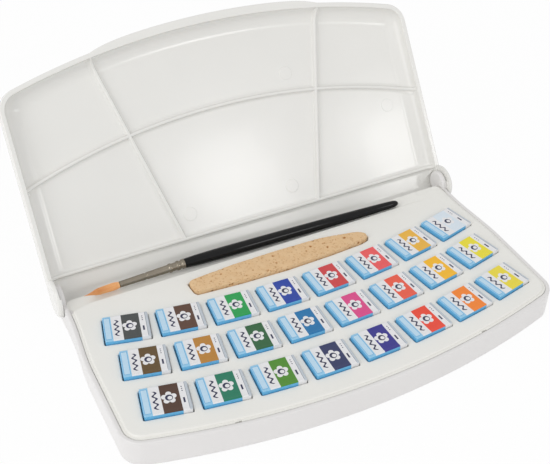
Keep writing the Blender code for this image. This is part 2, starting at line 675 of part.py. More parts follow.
def wrapper_mesh():
    """A folded paper wrapper about its own pan, with an open seam in each end fold."""
    def ring(inset, height):
        return ring_at(rectangle(WRAPPER_LENGTH - 2 * inset, WRAPPER_DEPTH - 2 * inset), height)

    wrapper = loft("wrapper", [
        ring(WRAPPER_EDGE, 0.0), ring(0.0, WRAPPER_EDGE),
        ring(0.0, WRAPPER_HEIGHT - WRAPPER_EDGE), ring(WRAPPER_EDGE, WRAPPER_HEIGHT),
    ])
    inside_x = WRAPPER_LENGTH / 2 - WRAPPER_FOIL
    inside_y = WRAPPER_DEPTH / 2 - WRAPPER_FOIL
    combine(wrapper, block("inside", (-inside_x, -inside_y, WRAPPER_FOIL),
                           (inside_x, inside_y, WRAPPER_HEIGHT - WRAPPER_FOIL)))
    seam_x = WRAPPER_LENGTH / 2 + OVERRUN
    seam_z = WRAPPER_HEIGHT / 2
    combine(wrapper, block("seam",
                           (-seam_x, -WRAPPER_SEAM_LENGTH / 2, seam_z - WRAPPER_SEAM_WIDTH / 2),
                           (seam_x, WRAPPER_SEAM_LENGTH / 2, seam_z + WRAPPER_SEAM_WIDTH / 2)))
    mesh = wrapper.data
    bpy.data.objects.remove(wrapper, do_unlink=True)
    return mesh


def cup_mesh():
    """The plastic cup with its cake of paint, filled to just under the rim."""
    around = 2 * (WRAPPER_FOIL + GAP)
    length = WRAPPER_LENGTH - around
    depth = WRAPPER_DEPTH - around
    low = WRAPPER_FOIL + GAP
    high = WRAPPER_HEIGHT - WRAPPER_FOIL - GAP
    rings = [
        ring_at(rectangle(length - 2 * CUP_TAPER, depth - 2 * CUP_TAPER), low),
        ring_at(rectangle(length, depth), high),
        ring_at(rectangle(length - 2 * CUP_WALL, depth - 2 * CUP_WALL), high),
        ring_at(rectangle(length - 2 * CUP_WALL, depth - 2 * CUP_WALL), high - CAKE_BELOW_RIM),
    ]
    bm = bmesh.new()
    loft_into(bm, rings)
    return to_mesh(bm, "cup")


def pans():
    """Every pan: its cup, and the wrapper whose band shows the paint's colour."""
    wrapper = wrapper_mesh()
    cup = cup_mesh()
    for row, column, x, y, angle in pan_places():
        number = row * PANS_IN_A_ROW + column + 1
        label = f"pan_{number:02d}"
        colour = PAN_COLOURS[row % len(PAN_COLOURS)][column % len(PAN_COLOURS[0])]
        finishes = {
            "cup": (cup, material(f"{label}_cup_plastic", CUP_PLASTIC)),
            "wrapper": (wrapper, material(f"{label}_wrapper_print",
                                          (colour, PRINT_ROUGHNESS, 0.0))),
        }
        for kind, (shape, finish) in finishes.items():
            made = place(f"{label}_{kind}", shape.copy(), finish)
            made.location = (x, y, WRAPPER_Z)
            made.rotation_euler = (0.0, 0.0, angle)


def sponge(finish):
    """The strip of sponge, softened at its top and bottom edges."""
    edge = SPONGE_SIDE_GAP
    drawn_in = offset(sponge_outline(), -edge)
    strip = loft("sponge", [
        ring_at(drawn_in, SPONGE_Z),
        ring_at(sponge_outline(), SPONGE_Z + edge),
        ring_at(sponge_outline(), SPONGE_Z + SPONGE_THICKNESS - edge),
        ring_at(drawn_in, SPONGE_Z + SPONGE_THICKNESS),
    ])
    strip.data.materials.append(finish)
    return strip


def brush_handle(finish):
    """The lacquered handle, with a tenon that enters the ferrule."""
    profile = [(-HANDLE_TENON_LENGTH, HANDLE_TENON_RADIUS), (0.0, HANDLE_TENON_RADIUS)]
    for along, radius in HANDLE_PROFILE_SHARES:
        profile.append((along * HANDLE_LENGTH, radius * HANDLE_DIAMETER / 2))
    profile.append((HANDLE_LENGTH, HANDLE_TIP_RADIUS))
    handle = turned("brush_handle", profile, BRUSH_SIDES)
    handle.data.materials.append(finish)
    return handle


def ferrule_radius(along):
    """The ferrule's plain taper, from the handle to the hair."""
    wide = FERRULE_HANDLE_DIAMETER / 2
    narrow = FERRULE_MOUTH_DIAMETER / 2
    return wide + (narrow - wide) * along / FERRULE_LENGTH


def brush_ferrule(finish):
    """The metal tube between handle and hair, with two beads, a collar and a crimp."""
    outside = [(0.0, ferrule_radius(0.0) + BEAD_HEIGHT)]
    collar = FERRULE_COLLAR_SHARE * FERRULE_LENGTH
    outside.append((collar, ferrule_radius(collar) + BEAD_HEIGHT))
    outside.append((collar + BEAD_HEIGHT, ferrule_radius(collar)))
    rings = [(share, BEAD_HALF_WIDTH, BEAD_HEIGHT) for share in FERRULE_BEAD_SHARES]
    rings.append((FERRULE_CRIMP_SHARE, CRIMP_HALF_WIDTH, -BEAD_HEIGHT / 2))
    for share, half, height in rings:
        middle = share * FERRULE_LENGTH
        outside.append((middle - half, ferrule_radius(middle)))
        outside.append((middle - half / 2, ferrule_radius(middle) + height))
        outside.append((middle + half / 2, ferrule_radius(middle) + height))
        outside.append((middle + half, ferrule_radius(middle)))
    outside.append((FERRULE_LENGTH, ferrule_radius(FERRULE_LENGTH)))
    crimp = FERRULE_CRIMP_SHARE * FERRULE_LENGTH
    wall = FERRULE_WALL + BEAD_HEIGHT / 2
    bore = [
        (-OVERRUN, ferrule_radius(0.0) - FERRULE_WALL),
        (crimp - 2 * CRIMP_HALF_WIDTH, ferrule_radius(crimp) - wall),
        (FERRULE_LENGTH + OVERRUN, ferrule_radius(FERRULE_LENGTH) - FERRULE_WALL),
    ]
    outside = [(-x, radius) for x, radius in reversed(outside)]
    bore = [(-x, radius) for x, radius in reversed(bore)]
    ferrule = turned("brush_ferrule", outside, BRUSH_SIDES)
    combine(ferrule, turned("bore", bore, BRUSH_SIDES))
    ferrule.data.materials.append(finish)
    return smoothed(ferrule)


def hair_scale(along):
    """How far the hair spreads from its axis at a share of its length, 1 at the belly."""
    for (start, low), (end, high) in zip(HAIR_STATION_SHARES, HAIR_STATION_SHARES[1:]):
        if along <= end:
            return low + (high - low) * (along - start) / (end - start)
    return HAIR_STATION_SHARES[-1][1]


def strand_centres():
    """Places of the strands at the belly, in a hexagonal pattern, as (y, z)."""
    reach = HAIR_BELLY_DIAMETER / 2 - STRAND_SPACING * BUNDLE_EDGE_SHARE
    rows = int(reach / STRAND_SPACING) + 1
    step = 2 * STRAND_SPACING / math.sqrt(3)
    rise = math.sqrt(3) / 2
    found = []
    for row in range(-2 * rows, 2 * rows + 1):
        for column in range(-2 * rows, 2 * rows + 1):
            y = step * (column + row % 2 / 2)
            z = step * rise * row
            if math.hypot(y, z) <= reach:
                found.append((y, z))
    return found


def brush_hair(finish):
    """The hair: fine tapering strands that rise from a round backing and meet in a point."""
    root = hair_scale(0.0)
    backing_radius = root * HAIR_BELLY_DIAMETER / 2
    hair = turned("brush_hair", [(0.0, backing_radius), (HAIR_BACKING, backing_radius)], BRUSH_SIDES)
    bm = bmesh.new()
    reach = HAIR_BELLY_DIAMETER / 2
    width = STRAND_SPACING * STRAND_FILL_SHARE
    thirds = [2 * math.pi * corner / 3 for corner in range(3)]
    embed = HAIR_BACKING / 2
    for y, z in strand_centres():
        from_axis = math.hypot(y, z) / reach
        end = 1 - (1 - HAIR_SHORTEST_STRAND_SHARE) * from_axis
        stations = [share for share, _ in HAIR_STATION_SHARES if share < end] + [end]
        rings = []
        for share in stations:
            scale = hair_scale(share)
            x = embed if share == 0.0 else HAIR_BACKING + share * (HAIR_LENGTH - HAIR_BACKING)
            thin = scale * width * (1 - STRAND_THINNING_SHARE * (share / end) ** 2)
            ring = [(scale * y + thin * math.cos(a), scale * z + thin * math.sin(a))
                    for a in thirds]
            rings.append([Vector((x, *spot)) for spot in ring])
        loft_into(bm, rings)
    strands = place("strands", to_mesh(bm, "strands"))
    combine(hair, strands, "UNION")
    hair.data.transform(Matrix.Scale(-1, 4, (1, 0, 0)))
    hair.data.flip_normals()
    hair.data.materials.append(finish)
    return hair


def brush(handle_finish, ferrule_finish, hair_finish):
    """The brush in its groove. Its ferrule sits a little crooked on its handle."""
    start = Vector((HANDLE_START_X, HINGE_Y - HANDLE_START_BEFORE_HINGE, BRUSH_Z))
    handle = brush_handle(handle_finish)
    handle.location = start
    handle.rotation_euler = (0.0, 0.0, math.radians(HANDLE_ASKEW_DEG))
    turn = Matrix.Rotation(math.radians(FERRULE_ASKEW_DEG), 4, "Z")
    ferrule = brush_ferrule(ferrule_finish)
    ferrule.location = start + turn @ Vector((-GAP, 0.0, 0.0))
    ferrule.rotation_euler = (0.0, 0.0, math.radians(FERRULE_ASKEW_DEG))
    hair = brush_hair(hair_finish)
    hair.location = start + turn @ Vector((-FERRULE_LENGTH - 2 * GAP, 0.0, 0.0))
    hair.rotation_euler = (0.0, 0.0, math.radians(FERRULE_ASKEW_DEG))


def main():
    clear_scene()
    base_shell(material("white_plastic", WHITE_PLASTIC))
    palette_lid(material("lid_plastic", LID_PLASTIC))
    pan_tray(material("tray_plastic", TRAY_PLASTIC))
    pans()
    sponge(material("sponge_foam", SPONGE_TAN))
    brush(material("black_lacquer", BLACK_LACQUER), material("nickel", NICKEL),
          material("orange_hair", ORANGE_HAIR))


main()
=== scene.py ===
"""Looks of the watercolour paint box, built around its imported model.

Units are metres in the model's own frame: +Z is up, +X runs to the right along the box and +Y runs
back to the hinge. The lid is modelled shut, about its hinge axis, and then turned open.
"""

import math
import random

import bmesh
import bpy
import numpy as np
from mathutils import Matrix, Vector, kdtree, noise

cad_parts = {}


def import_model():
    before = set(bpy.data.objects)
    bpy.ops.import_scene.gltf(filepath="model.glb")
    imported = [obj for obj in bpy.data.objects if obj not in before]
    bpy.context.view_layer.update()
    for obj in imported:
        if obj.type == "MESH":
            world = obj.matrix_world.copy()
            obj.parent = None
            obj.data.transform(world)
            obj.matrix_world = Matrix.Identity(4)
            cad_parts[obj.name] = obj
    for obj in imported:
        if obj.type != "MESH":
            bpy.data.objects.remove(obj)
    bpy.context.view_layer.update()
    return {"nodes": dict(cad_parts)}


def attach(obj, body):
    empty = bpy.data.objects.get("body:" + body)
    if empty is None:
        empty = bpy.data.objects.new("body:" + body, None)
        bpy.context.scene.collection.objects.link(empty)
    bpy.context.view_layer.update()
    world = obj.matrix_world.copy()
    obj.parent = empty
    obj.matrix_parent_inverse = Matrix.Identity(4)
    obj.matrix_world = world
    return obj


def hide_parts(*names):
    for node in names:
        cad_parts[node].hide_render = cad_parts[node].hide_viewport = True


MM = 0.001

# Clearances, as in the part's source
GAP = 0.0003
OVERRUN = 0.002
OVERLAP = 0.0004

# Box outline, seen from above
BOX_WIDTH = 0.2220
BOX_DEPTH = 0.1244
FRONT_ARC_RADIUS = 0.3917
FRONT_CORNER_RADIUS = 0.0110
NARROWING_STARTS_BEFORE_HINGE = 0.0520
NARROWING_ENDS_BEFORE_HINGE = 0.0140

# Hinge and lid
HINGE_FROM_BACK = 0.0102
HINGE_BELOW_RIM = 0.0003
LID_RADIUS = 0.0093
LID_SKIN = 0.0015
LID_WALL = 0.0024
LID_EDGE_ROUND = 0.0014
LID_FILLET_WIDTH = 0.0084
LID_FILLET_DEPTH = 0.0060
LID_RIM_ROUND = 0.0005
LID_OPEN_DEG = 125.4
BARREL_BELOW_AXIS_DEG = 15.0
THUMB_LIP_LENGTH = 0.1250
THUMB_LIP_DEPTH = 0.0020
THUMB_LIP_HEIGHT = 0.0035
THUMB_LIP_ROUND = 0.0006
THUMB_LIP_END_POWER = 8

# Ribs of the palette, and the faint round marks that the mould's ejectors leave
RIB_HEIGHT = 0.0022
RIB_FOOT = 0.0024
RIB_CREST = 0.0012
RIB_FOOT_FILLET = 0.0013
RIB_SPACING = 0.0008
RIB_CLIMB_SHARE = 0.93
ARC_RIB_FROM_FRONT = 0.0441
BACK_RIB_BEFORE_HINGE = 0.0090
RADIAL_RIB_FRONT_X = 0.0625
RADIAL_RIB_BACK_X = 0.0382
# Rib section: half its width, then its height as a share, from its foot's fillet to its crest
RIB_SECTION = [
    (RIB_FOOT / 2 + RIB_FOOT_FILLET, 0.0), (RIB_FOOT / 2 + RIB_FOOT_FILLET * 0.45, 0.05),
    (RIB_FOOT / 2, 0.2), ((RIB_FOOT + RIB_CREST) / 4, 0.52),
    (RIB_CREST / 2 + (RIB_FOOT - RIB_CREST) * 0.075, 0.8), (RIB_CREST * 0.36, 0.95), (0.0, 1.0),
]
EJECTOR_PLACES = [(0.0380, -0.0260), (0.0920, 0.0040), (0.0260, 0.0320), (-0.0320, 0.0315)]
EJECTOR_RADIUS = 0.0036
EJECTOR_RISE = 0.0002

# Base shell
BASE_HEIGHT = 0.0154
BASE_WALL = 0.0022
BASE_FLOOR = 0.0018
BASE_BOTTOM_ROUND = 0.0020
BASE_RIM_ROUND = 0.0009
BASE_EAR_GAP = 0.0002
LEDGE_WIDTH = 0.0012
LEDGE_BELOW_RIM = 0.0015
SEAT_WALL = 0.0012
KNUCKLE_RADIUS = 0.0065
KNUCKLE_ROUND = 0.0009
KNUCKLE_SIDE_GAP = 0.0001
KNUCKLE_ARM_DEPTH = 0.0036
KNUCKLE_ARM_INSET = 0.0002
PIN_RADIUS = 0.0020
PIN_REACH = 0.0020

# Tray
TRAY_FLANGE_WIDTH = 0.0011
TRAY_FLANGE_THICKNESS = 0.0008
PLATEAU_RISE = 0.0010
PLATEAU_EDGE_ROUND = 0.0009
TRAY_SIDE_GAP = 0.0001
TRAY_BEFORE_HINGE = 0.0020
TRAY_BACK_CORNER_RADIUS = 0.0060
POCKET_WALL = 0.0009
POCKET_LIP_ROUND = 0.0006
POCKET_CORNER_RADIUS = 0.0007
NOTCH_X = 0.0630
NOTCH_WIDTH = 0.0030

# Pans and their wrappers
PANS_IN_A_ROW = 8
PAN_PITCH = 0.0254
FRONT_ROW_RADIUS = 0.4188
FRONT_ROW_SETBACK = 0.0216
FRONT_ROW_TO_MIDDLE_ROW = 0.0244
MIDDLE_ROW_TO_BACK_ROW = 0.0231
FAN_SHIFT = 0.0016
WRAPPER_LENGTH = 0.0214
WRAPPER_DEPTH = 0.0162
WRAPPER_HEIGHT = 0.0112
WRAPPER_PROUD = 0.0020
WRAPPER_FOIL = 0.0003
WRAPPER_EDGE = 0.00045
FLAP_THICKNESS = 0.00012
FLAP_OUTLINES = [
    [(-0.0074, 0.0106), (-0.0040, 0.0050), (0.0040, 0.0050), (0.0074, 0.0106)],
    [(-0.0074, 0.0006), (0.0074, 0.0006), (0.0034, 0.0064), (-0.0034, 0.0064)],
]

# Sponge strip
SPONGE_LENGTH = 0.0966
SPONGE_WIDTH = 0.0136
SPONGE_THICKNESS = 0.0066
SPONGE_PROUD = 0.0020
SPONGE_SIDE_GAP = 0.0004
SPONGE_MIDDLE_X = -0.0006
SPONGE_FRONT_BEFORE_HINGE = 0.0296
SPONGE_EDGE_ROUND = 2 * SPONGE_SIDE_GAP
SPONGE_VOXEL = 0.00032
SPONGE_PORES = 2200
SPONGE_PORE_RADII = (0.00022, 0.00056)
SPONGE_BIG_PORES = 70
SPONGE_BIG_PORE_RADII = (0.0006, 0.0010)
SPONGE_PORE_DEPTH_SHARE = 0.75
SPONGE_PORE_STRETCH = (0.7, 1.0)
SPONGE_SEED = 7

# Brush
GROOVE_DEPTH = 0.0024
GROOVE_FLOOR = 0.0010
GROOVE_FILLET = 0.0018
GROOVE_LIP_ROUND = 0.0005
GROOVE_FRONT_BEFORE_HINGE = 0.0104
GROOVE_RIGHT_END = 0.0815
GROOVE_FLARE = 0.0060
GROOVE_FLARE_START = 0.0940
GROOVE_FADE_START = 0.0600
GROOVE_FADE_END = 0.0960
GROOVE_FADE_LEFT_SHARE = 0.004
HANDLE_LENGTH = 0.1214
HANDLE_DIAMETER = 0.0059
HANDLE_START_X = -0.0450
HANDLE_START_BEFORE_HINGE = 0.0045
HANDLE_TIP_RADIUS = 0.0004
HANDLE_ASKEW_DEG = -1.6
FERRULE_ASKEW_DEG = 1.6
FERRULE_LENGTH = 0.0340
FERRULE_HANDLE_DIAMETER = 0.0043
FERRULE_MOUTH_DIAMETER = 0.0031
FERRULE_WALL = 0.0003
FERRULE_BEADS = [0.0034, 0.0075]
FERRULE_COLLAR = 0.0012
FERRULE_CRIMP = 0.0204
BEAD_HEIGHT = 0.00035
BEAD_HALF_WIDTH = 0.0009
CRIMP_HALF_WIDTH = 0.0006
HAIR_LENGTH = 0.0188
HAIR_BELLY_DIAMETER = 0.0039
HAIR_BACKING = 0.0008
HAIR_SHORTEST_STRAND_SHARE = 0.60
STRAND_SPACING = 0.000150
STRAND_FILL_SHARE = 0.62
STRAND_THINNING_SHARE = 0.80
STRAND_SIDES = 5
BUNDLE_EDGE_SHARE = 0.67

# Handle: place along its length, then radius over half its diameter
HANDLE_PROFILE_SHARES = [
    (0.00, 0.80), (0.04, 0.90), (0.10, 0.965), (0.20, 1.00), (0.35, 0.97), (0.50, 0.935),
    (0.65, 0.89), (0.78, 0.82), (0.88, 0.745), (0.945, 0.68), (0.972, 0.635), (0.985, 0.56),
    (0.994, 0.42), (0.999, 0.22),
]
# Hair: place along its length, then radius over half its belly
HAIR_STATION_SHARES = [(0.0, 0.80), (0.06, 0.97), (0.14, 1.0), (0.32, 0.96), (0.51, 0.90),
                       (0.69, 0.67), (0.87, 0.36), (1.0, 0.05)]
# Sponge: outline along its length and across its width, from its middle front
SPONGE_OUTLINE_SHARES = [
    (-0.485, 0.19), (-0.25, 0.06), (0.0, 0.0), (0.25, 0.04), (0.44, 0.12), (0.485, 0.20),
    (0.50, 0.35), (0.495, 0.52), (0.46, 0.68), (0.36, 0.83), (0.25, 0.95), (0.0, 1.0),
    (-0.25, 0.98), (-0.48, 0.86), (-0.50, 0.80), (-0.495, 0.30),
]

# How finely round shapes are divided
FRONT_STEPS = 56
CORNER_STEPS = 14
NARROWING_STEPS = 18
EDGE_STEPS = 5
FILLET_STEPS = 9
FADE_STEPS = 24
SPONGE_OUTLINE_SPACING = 0.0012
SPONGE_OUTLINE_PASSES = 2
RIB_SECTION_STEPS = 4
HANDLE_STEPS = 5
FERRULE_STEPS = 260
WRAPPER_EDGE_STEPS = 3
CUP_SPACE_GRID = (4, 4, 4)
BARREL_SIDES = 128
PIN_SIDES = 48
BRUSH_SIDES = 64
POCKET_CORNER_STEPS = 4
SMOOTH_UNDER_DEG = 32.0
WELD_DISTANCE = 0.000002

# Colours, as red, green and blue from 0 to 255 on the screen
BASE_WHITE = (233, 231, 230)
LID_WHITE = (238, 237, 233)
TRAY_WHITE = (243, 242, 237)
CUP_WHITE = (240, 240, 238)
PAPER_WHITE = (238, 238, 240)
BAND_BLUE = (150, 205, 238)
PANEL_BLUE = (186, 217, 238)
LINE_BLUE = (72, 160, 214)
SIDE_BLUE = (112, 192, 238)
# The folded end: grey paper with painted shade of its slope, and a painted shade line at its crease
FOLD_GREY_AND_SHADE = (196, 204, 212)
FOLD_CREASE_SHADE = (120, 130, 142)
PRINT_NAVY = (30, 34, 74)
LACQUER_BLACK = (8, 8, 9)
# Darker than real nickel: painted shade in the ferrule's reflections
SHADED_NICKEL = (138, 130, 117)
HAIR_ORANGE = (255, 158, 66)
HAIR_PALE = (255, 218, 162)
SPONGE_TAN = (226, 186, 138)
SPONGE_PALE = (238, 206, 164)
# Colour of the painted shade that darkens the sponge's pores
PORE_SHADE_BROWN = (176, 120, 64)
PAN_COLOURS = [
    (66, 70, 70), (88, 56, 38), (10, 160, 75), (18, 60, 165),
    (210, 60, 65), (240, 88, 90), (240, 184, 60), (222, 234, 244),
    (95, 70, 25), (188, 130, 45), (30, 95, 50), (0, 115, 175),
    (225, 70, 140), (240, 90, 65), (252, 190, 24), (240, 226, 44),
    (75, 45, 28), (0, 120, 90), (75, 140, 30), (35, 45, 95),
    (42, 38, 140), (240, 70, 45), (250, 135, 35), (240, 222, 60),
]

# Places worked out from the sizes above
HALF_WIDTH = BOX_WIDTH / 2
FRONT_Y = -BOX_DEPTH / 2
BACK_Y = BOX_DEPTH / 2
FRONT_CENTRE_Y = FRONT_Y + FRONT_ARC_RADIUS
HINGE_Y = BACK_Y - HINGE_FROM_BACK
HINGE_Z = BASE_HEIGHT - HINGE_BELOW_RIM
LID_TOP = HINGE_Z + LID_RADIUS
LID_RIM = BASE_HEIGHT + GAP
PALETTE_Z = LID_TOP - LID_SKIN
EAR_INNER_X = HALF_WIDTH - LID_WALL
BACK_HALF_WIDTH = EAR_INNER_X - BASE_EAR_GAP
NARROWING_START_Y = HINGE_Y - NARROWING_STARTS_BEFORE_HINGE
NARROWING_END_Y = HINGE_Y - NARROWING_ENDS_BEFORE_HINGE
LEDGE_Z = BASE_HEIGHT - LEDGE_BELOW_RIM
FLANGE_Z = LEDGE_Z + GAP
FLANGE_TOP = FLANGE_Z + TRAY_FLANGE_THICKNESS
PLATEAU_Z = FLANGE_TOP + PLATEAU_RISE
TRAY_BACK_Y = HINGE_Y - TRAY_BEFORE_HINGE
TRAY_INSET = BASE_WALL + TRAY_SIDE_GAP
GROOVE_Z = PLATEAU_Z - GROOVE_DEPTH
GROOVE_UNDERSIDE = GROOVE_Z - GROOVE_FLOOR
GROOVE_FRONT_Y = HINGE_Y - GROOVE_FRONT_BEFORE_HINGE
WRAPPER_Z = PLATEAU_Z + WRAPPER_PROUD - WRAPPER_HEIGHT
BRUSH_Z = GROOVE_Z + GAP + HANDLE_DIAMETER / 2
SPONGE_Z = PLATEAU_Z + SPONGE_PROUD - SPONGE_THICKNESS
SPONGE_FRONT_Y = HINGE_Y - SPONGE_FRONT_BEFORE_HINGE
HINGE_PLACE = Vector((0.0, HINGE_Y, HINGE_Z))
TO_HINGE = Matrix.Translation(HINGE_PLACE)
OPENED = Matrix.Rotation(-math.radians(LID_OPEN_DEG), 4, "X")


def to_mesh(bm, name):
    """Turn a bmesh into a mesh with its faces pointing out."""
    bmesh.ops.recalc_face_normals(bm, faces=bm.faces)
    mesh = bpy.data.meshes.new(name)
    bm.to_mesh(mesh)
    bm.free()
    return mesh


def place(name, mesh):
    """Put a mesh in the scene as an object."""
    made = bpy.data.objects.new(name, mesh)
    bpy.context.scene.collection.objects.link(made)
    return made


def bake_modifiers(target):
    """Replace an object's mesh by what its modifiers make of it."""
    graph = bpy.context.evaluated_depsgraph_get()
    result = bpy.data.meshes.new_from_object(target.evaluated_get(graph))
    target.modifiers.clear()
    target.data = result
    return target


def combine(target, tool, operation="DIFFERENCE"):
    """Cut one object with another, or join or intersect them, and remove the tool."""
    step = target.modifiers.new(operation, "BOOLEAN")
    step.operation = operation
    step.solver = "EXACT"
    step.object = tool
    bake_modifiers(target)
    bpy.data.objects.remove(tool, do_unlink=True)
    return target


def settle(target):
    """Weld a finished shape's points, and shade its round parts smooth and its flat parts flat."""
    bm = bmesh.new()
    bm.from_mesh(target.data)
    bmesh.ops.remove_doubles(bm, verts=bm.verts, dist=WELD_DISTANCE)
    bmesh.ops.dissolve_degenerate(bm, edges=bm.edges, dist=WELD_DISTANCE)
    bm.to_mesh(target.data)
    bm.free()
    target.data.shade_smooth()
    target.data.set_sharp_from_angle(angle=math.radians(SMOOTH_UNDER_DEG))
    step = target.modifiers.new("weights", "WEIGHTED_NORMAL")
    step.keep_sharp = True
    return bake_modifiers(target)


def loft_into(bm, rings):
    """Skin a stack of rings of equal length and cap both ends."""
    levels = [[bm.verts.new(point) for point in ring] for ring in rings]
    for low, high in zip(levels, levels[1:]):
        for index in range(len(low)):
            after = (index + 1) % len(low)
            bm.faces.new((low[index], low[after], high[after], high[index]))
    bm.faces.new(list(reversed(levels[0])))
    bm.faces.new(levels[-1])


def loft(name, rings):
    """An object skinned over a stack of rings."""
    bm = bmesh.new()
    loft_into(bm, rings)
    return place(name, to_mesh(bm, name))


def ring_at(points, height):
    """Lift flat points to one height."""
    return [Vector((x, y, height)) for x, y in points]


def ring_across(points, x):
    """Stand (y, z) points up at one place along X."""
    return [Vector((x, y, z)) for y, z in points]


def circle(radius, sides, middle=(0.0, 0.0)):
    """Points round a circle, anticlockwise."""
    angles = [2 * math.pi * side / sides for side in range(sides)]
    return [(middle[0] + radius * math.cos(a), middle[1] + radius * math.sin(a)) for a in angles]


def rounded_rectangle(length, depth, radius):
    """A rectangle about the origin with rounded corners, anticlockwise."""
    points = []
    for quarter_turn, (x_sign, y_sign) in enumerate(((1, 1), (-1, 1), (-1, -1), (1, -1))):
        for step in range(POCKET_CORNER_STEPS + 1):
            angle = math.pi / 2 * (quarter_turn + step / POCKET_CORNER_STEPS)
            points.append((x_sign * (length / 2 - radius) + radius * math.cos(angle),
                           y_sign * (depth / 2 - radius) + radius * math.sin(angle)))
    return points


def block(name, low, high):
    """A box between two corners, used to cut or to join."""
    corners = [(low[0], low[1]), (high[0], low[1]), (high[0], high[1]), (low[0], high[1])]
    return loft(name, [ring_at(corners, low[2]), ring_at(corners, high[2])])


def along_x(name, profile, start, end):
    """A profile of (y, z) points carried along X between two places."""
    return loft(name, [ring_across(profile, x) for x in (start, end)])


def turned(name, profile, sides):
    """A solid turned about X from (x, radius) points, with flat ends."""
    return loft(name, [ring_across(circle(radius, sides), x) for x, radius in profile])


def disc_on_hinge(name, radius, start, end, edges=(0.0, 0.0), sides=BARREL_SIDES,
                  steps=EDGE_STEPS):
    """A cylinder about the hinge axis, each of whose rims has its own edge radius."""
    profile = [(start + back, radius - drawn_in)
               for drawn_in, back in reversed(high_edge(edges[0], steps if edges[0] else 0))]
    profile += [(end - back, radius - drawn_in)
                for drawn_in, back in high_edge(edges[1], steps if edges[1] else 0)]
    made = turned(name, profile, sides)
    made.data.transform(TO_HINGE)
    return made


def offset(points, distance):
    """Move a closed, anticlockwise outline outward by a distance."""
    moved = []
    count = len(points)
    for index in range(count):
        here = Vector(points[index])
        back = (here - Vector(points[index - 1])).normalized()
        ahead = (Vector(points[(index + 1) % count]) - here).normalized()
        normal = Vector((back.y + ahead.y, -back.x - ahead.x)).normalized()
        corner = here + normal * (distance / normal.dot(Vector((ahead.y, -ahead.x))))
        moved.append((corner.x, corner.y))
    return moved


def quarter(radius, steps):
    """A quarter round's (1 - sine, 1 - cosine) times its radius, or its start alone for no steps."""
    angles = [math.pi / 2 * step / max(steps, 1) for step in range(steps + 1)]
    return [(radius * (1 - math.sin(angle)), radius * (1 - math.cos(angle))) for angle in angles]


def low_edge(radius, steps=EDGE_STEPS):
    """How far a rounded lower edge is drawn in, and how high, from its lowest line up."""
    return quarter(radius, steps)


def high_edge(radius, steps=EDGE_STEPS):
    """How far a rounded upper edge is drawn in, and how far below its top, from below up."""
    return [(drawn_in, below) for below, drawn_in in quarter(radius, steps)]


def curve_through(points, between, closed=False):
    """Smooth points along an outline or profile: a Catmull-Rom curve through the given ones."""
    count = len(points)
    found = []
    for index in range(count if closed else count - 1):
        if closed:
            a, b, c, d = (Vector(points[(index + shift) % count]) for shift in (-1, 0, 1, 2))
        else:
            a, b, c, d = (Vector(points[min(max(index + shift, 0), count - 1)])
                          for shift in (-1, 0, 1, 2))
        for step in range(between):
            t = step / between
            spot = (b * 2 + (c - a) * t + (a * 2 - b * 5 + c * 4 - d) * t * t
                    + (b * 3 - a - c * 3 + d) * t * t * t) / 2
            found.append(tuple(spot))
    if not closed:
        found.append(tuple(points[-1]))
    return found


def span(side_sign, *places):
    """Two places on one side of the middle, lowest first."""
    return sorted(side_sign * place for place in places)


def base_half_width(y):
    """Half the base's width, which eases in towards the hinge."""
    share = (y - NARROWING_START_Y) / (NARROWING_END_Y - NARROWING_START_Y)
    share = min(max(share, 0.0), 1.0)
    eased = share * share * (3 - 2 * share)
    return HALF_WIDTH + (BACK_HALF_WIDTH - HALF_WIDTH) * eased


def on_arc(radius, angle, centre_y=FRONT_CENTRE_Y):
    """A place on an arc like the front's, at an angle from the middle."""
    return (radius * math.sin(angle), centre_y - radius * math.cos(angle))


def arc_y(radius, x):
    """How far forward an arc about the front's centre lies at a place across the box."""
    return FRONT_CENTRE_Y - math.sqrt(radius * radius - x * x)


def plan(inset, back_y, back_round=0.0, narrows=True):
    """The box's outline from above, drawn in by an inset, anticlockwise from the front's middle."""
    corner_x = HALF_WIDTH - FRONT_CORNER_RADIUS
    reach = FRONT_ARC_RADIUS - FRONT_CORNER_RADIUS
    corner_y = arc_y(reach, corner_x)
    spread = math.asin(corner_x / reach)
    right = [on_arc(FRONT_ARC_RADIUS - inset, spread * step / FRONT_STEPS)
             for step in range(FRONT_STEPS)]
    for step in range(CORNER_STEPS + 1):
        angle = spread - math.pi / 2 + (math.pi / 2 - spread) * step / CORNER_STEPS
        radius = FRONT_CORNER_RADIUS - inset
        right.append((corner_x + radius * math.cos(angle), corner_y + radius * math.sin(angle)))
    for step in range(NARROWING_STEPS + 1):
        y = NARROWING_START_Y + (NARROWING_END_Y - NARROWING_START_Y) * step / NARROWING_STEPS
        half = base_half_width(y) if narrows else HALF_WIDTH
        if y < back_y - back_round:
            right.append((half - inset, y))
    half = BACK_HALF_WIDTH if narrows else HALF_WIDTH
    if back_round:
        for step in range(CORNER_STEPS + 1):
            angle = math.pi / 2 * step / CORNER_STEPS
            right.append((half - inset - back_round + back_round * math.cos(angle),
                          back_y - back_round + back_round * math.sin(angle)))
    else:
        right.append((half - inset, back_y))
    left = [(-x, y) for x, y in reversed(right[1:])]
    return right + left


